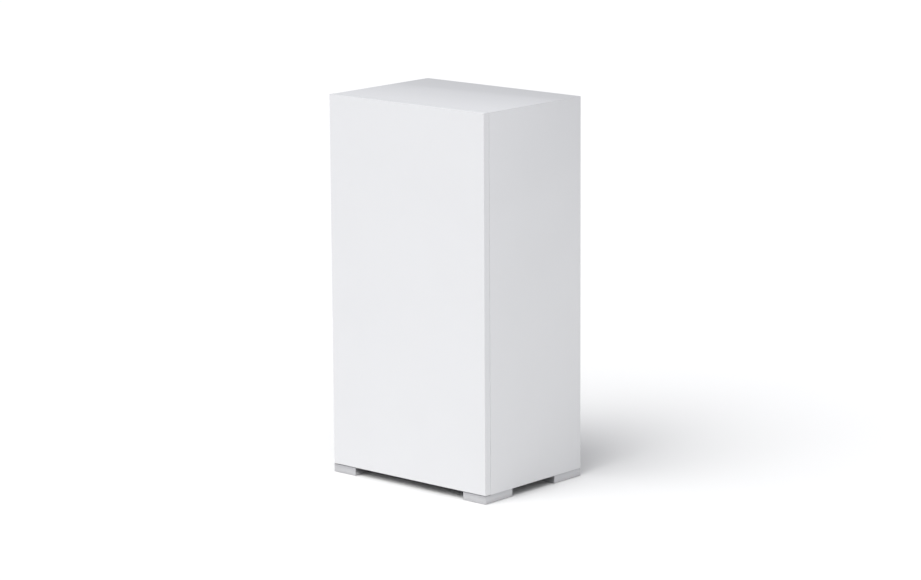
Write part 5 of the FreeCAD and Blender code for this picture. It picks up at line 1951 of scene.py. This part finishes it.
@dataclass
class Knob(Assembly):
    """The thermostat's knob."""

    body: Body = Body.KNOB
    radius: float = 16.4 * MM
    disc: float = 7.0 * MM
    bar: float = 7.0 * MM
    flutes: int = 30

    def build(self) -> None:
        """Turn the disc, add the grip, the flutes and the pointer."""
        low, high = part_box("thermostat_knob")
        centre = (middle_of("thermostat_knob").x, low.y, middle_of("thermostat_knob").z)
        self.piece("knob", self._body(centre, high.y - low.y), GREY_PLASTIC, "thermostat_knob")
        tall = self.disc - 1.6 * MM
        flute = Form().block((-0.5 * MM, -0.8 * MM, 0.0), (0.6 * MM, 0.8 * MM, tall), 0.4 * MM, 2)
        ring = ring_of(flute, self.flutes, self.radius, GREY_PLASTIC, "knob_flutes")
        ring.transform(Matrix.Rotation(math.radians(-90.0), 4, "X"))
        ring.transform(Matrix.Translation((centre[0], centre[1] + self.disc + 0.8 * MM, centre[2])))
        self.piece("knob_flutes", ring, GREY_PLASTIC)
        x, y, z = centre
        pointer = Form().block((x - 0.7 * MM, y, z + 3.0 * MM),
                               (x + 0.7 * MM, y + 0.5 * MM, z + 14.0 * MM), 0.2 * MM, 2)
        self.piece("knob_pointer", pointer, WHITE_PLASTIC)

    def _body(self, centre: Point, depth: float) -> Form:
        """Disc, spindle and grip bar.

        Args:
            centre: Centre of the grip's face.
            depth: From the grip's face to the spindle's end.

        Returns:
            The form.
        """
        radius, disc = self.radius, self.disc
        edge = 1.5 * MM
        face = [(radius - edge + edge * math.sin(t), disc + edge * (1.0 - math.cos(t)))
                for t in (math.radians(a) for a in (0, 30, 60, 90))]
        spindle = 3.0 * MM
        profile = [(0.0, disc), *face, (radius, 2 * disc), (spindle, 2 * disc), (spindle, depth),
                   (0.0, depth)]
        form = Form().lathe(profile, centre, Axis.Y, 60)
        x, y, z = centre
        half, tall = self.bar / 2, radius - 1.0 * MM
        low, high = (x - half, y + 0.3 * MM, z - tall), (x + half, y + disc + 1.0 * MM, z + tall)
        return form.block(low, high, 1.6 * MM, 4)


@dataclass
class Condenser(Assembly):
    """Tube, wires and clips on the back, with the drier."""

    runs: int = 11
    bend: float = 12.0 * MM
    wires: int = 19
    overhang: float = 2.0 * MM
    tie_inset: float = 6.0 * MM

    def build(self) -> None:
        """Bend the tube, weld the wires and clip the grid on."""
        self.piece("condenser_coil", self._coil(), BLACK_ENAMEL, "condenser_tube")
        self.piece("condenser_grid", self._grid(), BLACK_ENAMEL, "condenser_wires")
        self.piece("condenser_ties", self._ties(), BLACK_ENAMEL)
        self.soften(BLACK_PLASTIC, 1.0 * MM, "condenser_brackets")
        self._clip_screws()
        self.soften(COPPER, 0.0, "filter_drier", "suction_pipe", "capillary_tube")

    def _coil(self) -> bpy.types.Mesh:
        """The coil, from the riser to the drier.

        Returns:
            The mesh.
        """
        low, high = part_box("condenser_tube")
        radius = (high.y - low.y) / 2
        y, top, left = low.y + radius, high.z - radius, low.x + radius
        riser, right = high.x - radius, -left
        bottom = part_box("condenser_wires")[0].z + 2 * self.tie_inset
        step = (top - bottom) / (self.runs - 1)
        route = [Vector((riser, y, low.z)), Vector((riser, y, top))]
        route += serpentine((left, y, top), (right - left, 0.0, 0.0), (0.0, 0.0, -step), self.runs)
        route[-1], end = Vector((left, y, bottom)), Vector((left, y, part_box("filter_drier")[1].z))
        return tube_along(route + [end], radius, self.bend, BLACK_ENAMEL, "condenser_coil", 14)

    def _grid(self) -> bpy.types.Mesh:
        """Upright wires at an even step.

        Returns:
            The mesh.
        """
        low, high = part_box("condenser_wires")
        radius = (high.y - low.y) / 2
        tall = high.z - low.z
        wire = Form().lathe([(0.0, 0.0), (radius, 0.0), (radius, tall), (0.0, tall)], ORIGIN, Axis.Z, 8)
        start = (low.x + self.overhang, low.y + radius, low.z)
        step = (high.x - low.x - 2 * self.overhang) / (self.wires - 1)
        return row_of(wire, self.wires, start, (step, 0.0, 0.0), BLACK_ENAMEL, "condenser_grid")

    def _ties(self) -> Form:
        """A wire across each end of the grid.

        Returns:
            The form.
        """
        low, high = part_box("condenser_wires")
        radius, wide = (high.y - low.y) / 2, high.x - low.x
        form = Form()
        for z in (low.z + self.tie_inset, high.z - self.tie_inset):
            profile = [(0.0, 0.0), (radius, 0.0), (radius, wide), (0.0, wide)]
            form.lathe(profile, (low.x, low.y + radius, z), Axis.X, 8)
        return form

    def _clip_screws(self) -> None:
        """A screw in the wing of each clip."""
        low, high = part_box("condenser_brackets")
        places = [(x, low.y, z + side * 11.0 * MM) for x in (low.x + 9.0 * MM, high.x - 9.0 * MM)
                  for z, side in ((low.z + 6.0 * MM, -1), (high.z - 6.0 * MM, 1))]
        wings = Form()
        half, tall, thick = 6.0 * MM, 7.0 * MM, 2.0 * MM
        for x, y, z in places:
            wings.block((x - half, y, z - tall), (x + half, y + thick, z + tall), 0.8 * MM, 2)
        self.piece("clip_wings", wings, BLACK_PLASTIC)
        seats = [(x, y + thick, z) for x, y, z in places]
        self.screws("clip_screws", seats, screw_head(3.2 * MM, 1.6 * MM, Axis.Y), 3)


@dataclass
class Compressor(Assembly):
    """The welded pot on its plate, with its fittings, pan and drain."""

    seam: float = 2.5 * MM
    seam_height: float = 4.0 * MM
    dome: float = 26.0 * MM
    grommet_radius: float = 9.0 * MM
    pan_corner: float = 9.0 * MM
    stub_length: float = 17.0 * MM
    stub_level: float = 70.0 * MM

    def build(self) -> None:
        """Build the pot from its mounts to the pan."""
        self.soften(BLACK_ENAMEL, 0.7 * MM, "compressor_plate")
        self.piece("compressor_pot", self._pot(), BLACK_ENAMEL, "compressor_shell")
        self.soften(BLACK_PLASTIC, 1.8 * MM, "terminal_box")
        self.piece("terminal_clip", self._clip(), ZINC)
        self.piece("mount_grommets", self._grommets(), BLACK_RUBBER, "compressor_grommets")
        self.piece("mount_nuts", self._nuts(), ZINC, "compressor_bolts")
        self.piece("melt_pan", self._pan(), BLACK_PLASTIC, "evaporation_pan")
        self.soften(GREY_PLASTIC, 0.0, "drain_tube")
        self.soften(COPPER, 0.0, "discharge_pipe")
        self.piece("process_stub", self._stub(), COPPER)

    def _pot(self) -> Form:
        """Two deep-drawn halves that meet in a welded seam.

        Returns:
            The form.
        """
        low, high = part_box("compressor_shell")
        centre = middle_of("compressor_shell")
        radius, tall = (high.x - low.x) / 2 - self.seam, high.z - low.z
        middle, half = tall / 2, self.seam_height / 2
        belly = radius - 1.2 * MM
        turns = [math.radians(15.0 * i) for i in range(7)]
        lower = [(belly - self.dome + self.dome * math.sin(t), self.dome * (1.0 - math.cos(t)) * 0.8)
                 for t in turns]
        upper = [(belly - self.dome + self.dome * math.cos(t), tall - self.dome * 0.8 * (1.0 - math.sin(t)))
                 for t in turns]
        below, above, lap = middle - half, middle + half, 3.0 * MM
        seam = [(radius, below - lap), (radius, below), (radius + self.seam, below),
                (radius + self.seam, above), (radius, above), (radius, above + lap)]
        crown = [(14.0 * MM, tall), (12.0 * MM, tall), (0.0, tall)]
        profile = [(0.0, 0.0)] + lower + seam + upper + crown
        return Form().lathe(profile, (centre.x, centre.y, low.z), Axis.Z, 72)

    def _mounts(self) -> list[Point]:
        """Centres of the four mounts, on the base.

        Returns:
            The places.
        """
        low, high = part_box("compressor_grommets")
        radius = self.grommet_radius
        return [(x, y, low.z) for x in (low.x + radius, high.x - radius)
                for y in (low.y + radius, high.y - radius)]

    def _grommets(self) -> bpy.types.Mesh:
        """Waisted rubber mounts.

        Returns:
            The mesh.
        """
        tall, wide = 12.0 * MM, self.grommet_radius
        profile = [(0.0, 0.0), (8.6 * MM, 0.0), (wide, 0.6 * MM), (wide, 3.0 * MM), (7.4 * MM, 4.2 * MM),
                   (7.4 * MM, 7.4 * MM), (wide, 8.6 * MM), (wide, 11.4 * MM), (8.6 * MM, tall), (0.0, tall)]
        body = Form().lathe(profile, ORIGIN, Axis.Z, 32)
        return copies_at(self._mounts(), body, BLACK_RUBBER, "mount_grommets")

    def _nuts(self) -> bpy.types.Mesh:
        """Hexagon nuts with washers on their studs.

        Returns:
            The mesh.
        """
        low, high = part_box("compressor_bolts")
        tall, seat = high.z - low.z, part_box("compressor_plate")[1].z - low.z
        stud = [(0.0, 0.0), (2.9 * MM, 0.0), (2.9 * MM, tall - 0.8 * MM), (2.2 * MM, tall), (0.0, tall)]
        washer = [(0.0, 0.0), (6.0 * MM, 0.0), (6.0 * MM, 0.8 * MM), (0.0, 0.8 * MM)]
        nut = [(0.0, 0.0), (5.4 * MM, 0.0), (5.4 * MM, 4.0 * MM), (4.8 * MM, 4.6 * MM), (0.0, 4.6 * MM)]
        form = Form().lathe(stud, ORIGIN, Axis.Z, 20)
        form.lathe(washer, (0.0, 0.0, seat), Axis.Z, 28)
        form.lathe(nut, (0.0, 0.0, seat + 0.8 * MM), Axis.Z, 6)
        return copies_at(self._mounts(), form, ZINC, "mount_nuts", ANY_TURN_ABOUT_Z, 2)

    def _clip(self) -> Form:
        """Spring wire that holds the terminal cover on.

        Returns:
            The form.
        """
        low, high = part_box("terminal_box")
        y, half = (low.y + high.y) / 2, 3.0 * MM
        sunk, proud = 0.4 * MM, 0.8 * MM
        corner = (high.x + proud, y + half, high.z + proud)
        form = Form().block((high.x - sunk, y - half, low.z + 3.0 * MM), corner, 0.3 * MM, 2)
        return form.block((low.x + 10.0 * MM, y - half, high.z - sunk), corner, 0.3 * MM, 2)

    def _pan(self) -> Form:
        """The pan that the drain drips into.

        Returns:
            The form.
        """
        low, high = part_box("evaporation_pan")
        tall = high.z - low.z
        outside = [(5.0 * MM, 0.0), (2.4 * MM, 1.0 * MM), (1.6 * MM, 4.0 * MM), (1.2 * MM, tall - 2.5 * MM),
                   (0.0, tall - 2.0 * MM), (0.0, tall - 0.6 * MM), (0.6 * MM, tall)]
        inside = [(3.0 * MM, tall), (3.6 * MM, tall - 1.0 * MM), (4.4 * MM, 5.0 * MM), (8.0 * MM, 2.4 * MM)]
        return tub(low, high, outside + inside, self.pan_corner)

    def _stub(self) -> Form:
        """The crimped filling tube on the pot's shoulder.

        Returns:
            The form.
        """
        low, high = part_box("compressor_shell")
        centre = middle_of("compressor_shell")
        long = self.stub_length
        profile = [(0.0, 0.0), (5.0 * MM, 0.0), (4.6 * MM, 2.0 * MM), (3.0 * MM, 3.0 * MM),
                   (3.0 * MM, 12.0 * MM), (2.0 * MM, 15.0 * MM), (1.1 * MM, long), (0.0, long)]
        start = (low.x + 4.5 * MM - long, centre.y, high.z - self.stub_level)
        turned = [(radius, long - height) for radius, height in reversed(profile)]
        return Form().lathe(turned, start, Axis.X, 20)


@dataclass
class PowerInlet(Assembly):
    """The recessed inlet on its bracket."""

    screw_spread: float = 20.2 * MM

    def build(self) -> None:
        """Dress the inlet, its bracket and its lead."""
        self.soften(BLACK_PLASTIC, 0.4 * MM, "power_inlet")
        self.soften(GALVANISED, 0.3 * MM, "inlet_bracket")
        self.soften(BLACK_RUBBER, 0.0, "inlet_lead")
        low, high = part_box("power_inlet")
        x, z = (low.x + high.x) / 2, (low.z + high.z) / 2
        places = [(x + side * self.screw_spread, high.y, z) for side in SIDES]
        self.screws("inlet_screws", places, screw_head(2.4 * MM, 1.3 * MM, Axis.Y), 9)


@dataclass
class Studio:
    """Pale floor, soft lights, pale surroundings and the camera."""

    lens: float = 134.6
    yaw: float = 41.378
    pitch: float = 11.611
    roll: float = -0.363
    distance: float = 8.9181
    aside: float = 0.0121
    above: float = -0.0092
    floor_reach: float = 14.0
    sky: float = 0.53
    key: float = 1.06
    fill: float = 0.17

    def build(self) -> None:
        """Set the stage."""
        self._floor()
        self._surroundings()
        self._lights()
        self._camera()

    def _floor(self) -> None:
        """A wide card under the object."""
        shape = bmesh.new()
        bmesh.ops.create_grid(shape, x_segments=4, y_segments=4, size=self.floor_reach)
        mesh = mesh_of(shape, "studio_floor")
        mesh.materials.append(material_of(CARD))
        scratch(mesh, "studio_floor")

    def _surroundings(self) -> None:
        """Even pale light from all round, shown without a film curve."""
        world = bpy.data.worlds.new("studio")
        bpy.context.scene.world = world
        world.use_nodes = True
        nodes, links = world.node_tree.nodes, world.node_tree.links
        light = nodes["Background"]
        light.inputs["Color"].default_value = (0.98, 0.99, 1.04, 1.0)
        light.inputs["Strength"].default_value = self.sky
        seen = nodes.new("ShaderNodeBackground")
        seen.inputs["Color"].default_value = (1.0, 1.0, 1.0, 1.0)
        choice = nodes.new("ShaderNodeMixShader")
        links.new(nodes.new("ShaderNodeLightPath").outputs["Is Camera Ray"], choice.inputs["Fac"])
        links.new(light.outputs["Background"], choice.inputs[1])
        links.new(seen.outputs["Background"], choice.inputs[2])
        links.new(choice.outputs["Shader"], nodes["World Output"].inputs["Surface"])
        bpy.context.scene.view_settings.view_transform = "Standard"

    def _light(self, name: str, round_the_side: float, height: float, spread: float,
               strength: float) -> None:
        """One wide soft light, so far off that it falls evenly over the whole floor.

        Args:
            name: Its name.
            round_the_side: How far it stands to the right of the door, in degrees.
            height: How high it stands over the floor, in degrees.
            spread: How wide it looks from the floor, in degrees.
            strength: Its strength.
        """
        data = bpy.data.lights.new(name, "SUN")
        data.angle = math.radians(spread)
        data.energy = strength
        turn, rise = math.radians(round_the_side), math.radians(height)
        towards = Vector((math.sin(turn) * math.cos(rise), -math.cos(turn) * math.cos(rise), math.sin(rise)))
        scratch(data, name).rotation_euler = towards.to_track_quat("Z", "Y").to_euler()

    def _lights(self) -> None:
        """A pair of high soft boxes in front of the door, and a weak one that looks at the right side."""
        self._light("left_key", -15.0, 55.0, 50.0, self.key)
        self._light("right_key", 15.0, 55.0, 50.0, self.key)
        self._light("side_fill", 90.0, 25.0, 60.0, self.fill)

    def _camera(self) -> None:
        """A long lens, a little above the object."""
        height = CAD_BOX[1].z
        yaw, pitch, roll = (math.radians(a) for a in (self.yaw, self.pitch, self.roll))
        back = Vector((math.sin(yaw) * math.cos(pitch), -math.cos(yaw) * math.cos(pitch), math.sin(pitch)))
        level = Vector((math.cos(yaw), math.sin(yaw), 0.0))
        raised = level.cross(-back)
        right = level * math.cos(roll) + raised * math.sin(roll)
        up = raised * math.cos(roll) - level * math.sin(roll)
        place = Vector((0.0, 0.0, height / 2)) + height * (
            back * self.distance + right * self.aside + up * self.above)
        data = bpy.data.cameras.new("camera")
        data.lens = self.lens
        camera = scratch(data, "camera")
        camera.matrix_world = Matrix.Translation(place) @ Matrix((right, up, back)).transposed().to_4x4()
        bpy.context.scene.camera = camera


ASSEMBLIES = (Shell, Feet, Door, DoorBins, Hinge, Interior, Chiller, ChillerFlap, Controls, Knob, Condenser,
              Compressor, PowerInlet)


def main() -> None:
    """Build every assembly, then the studio."""
    logging.basicConfig(level=logging.INFO, format="%(message)s")
    for kind in ASSEMBLIES:
        LOG.info("building %s", kind.__name__)
        kind().build()
    Studio().build()


if __name__ == "__main__":
    main()
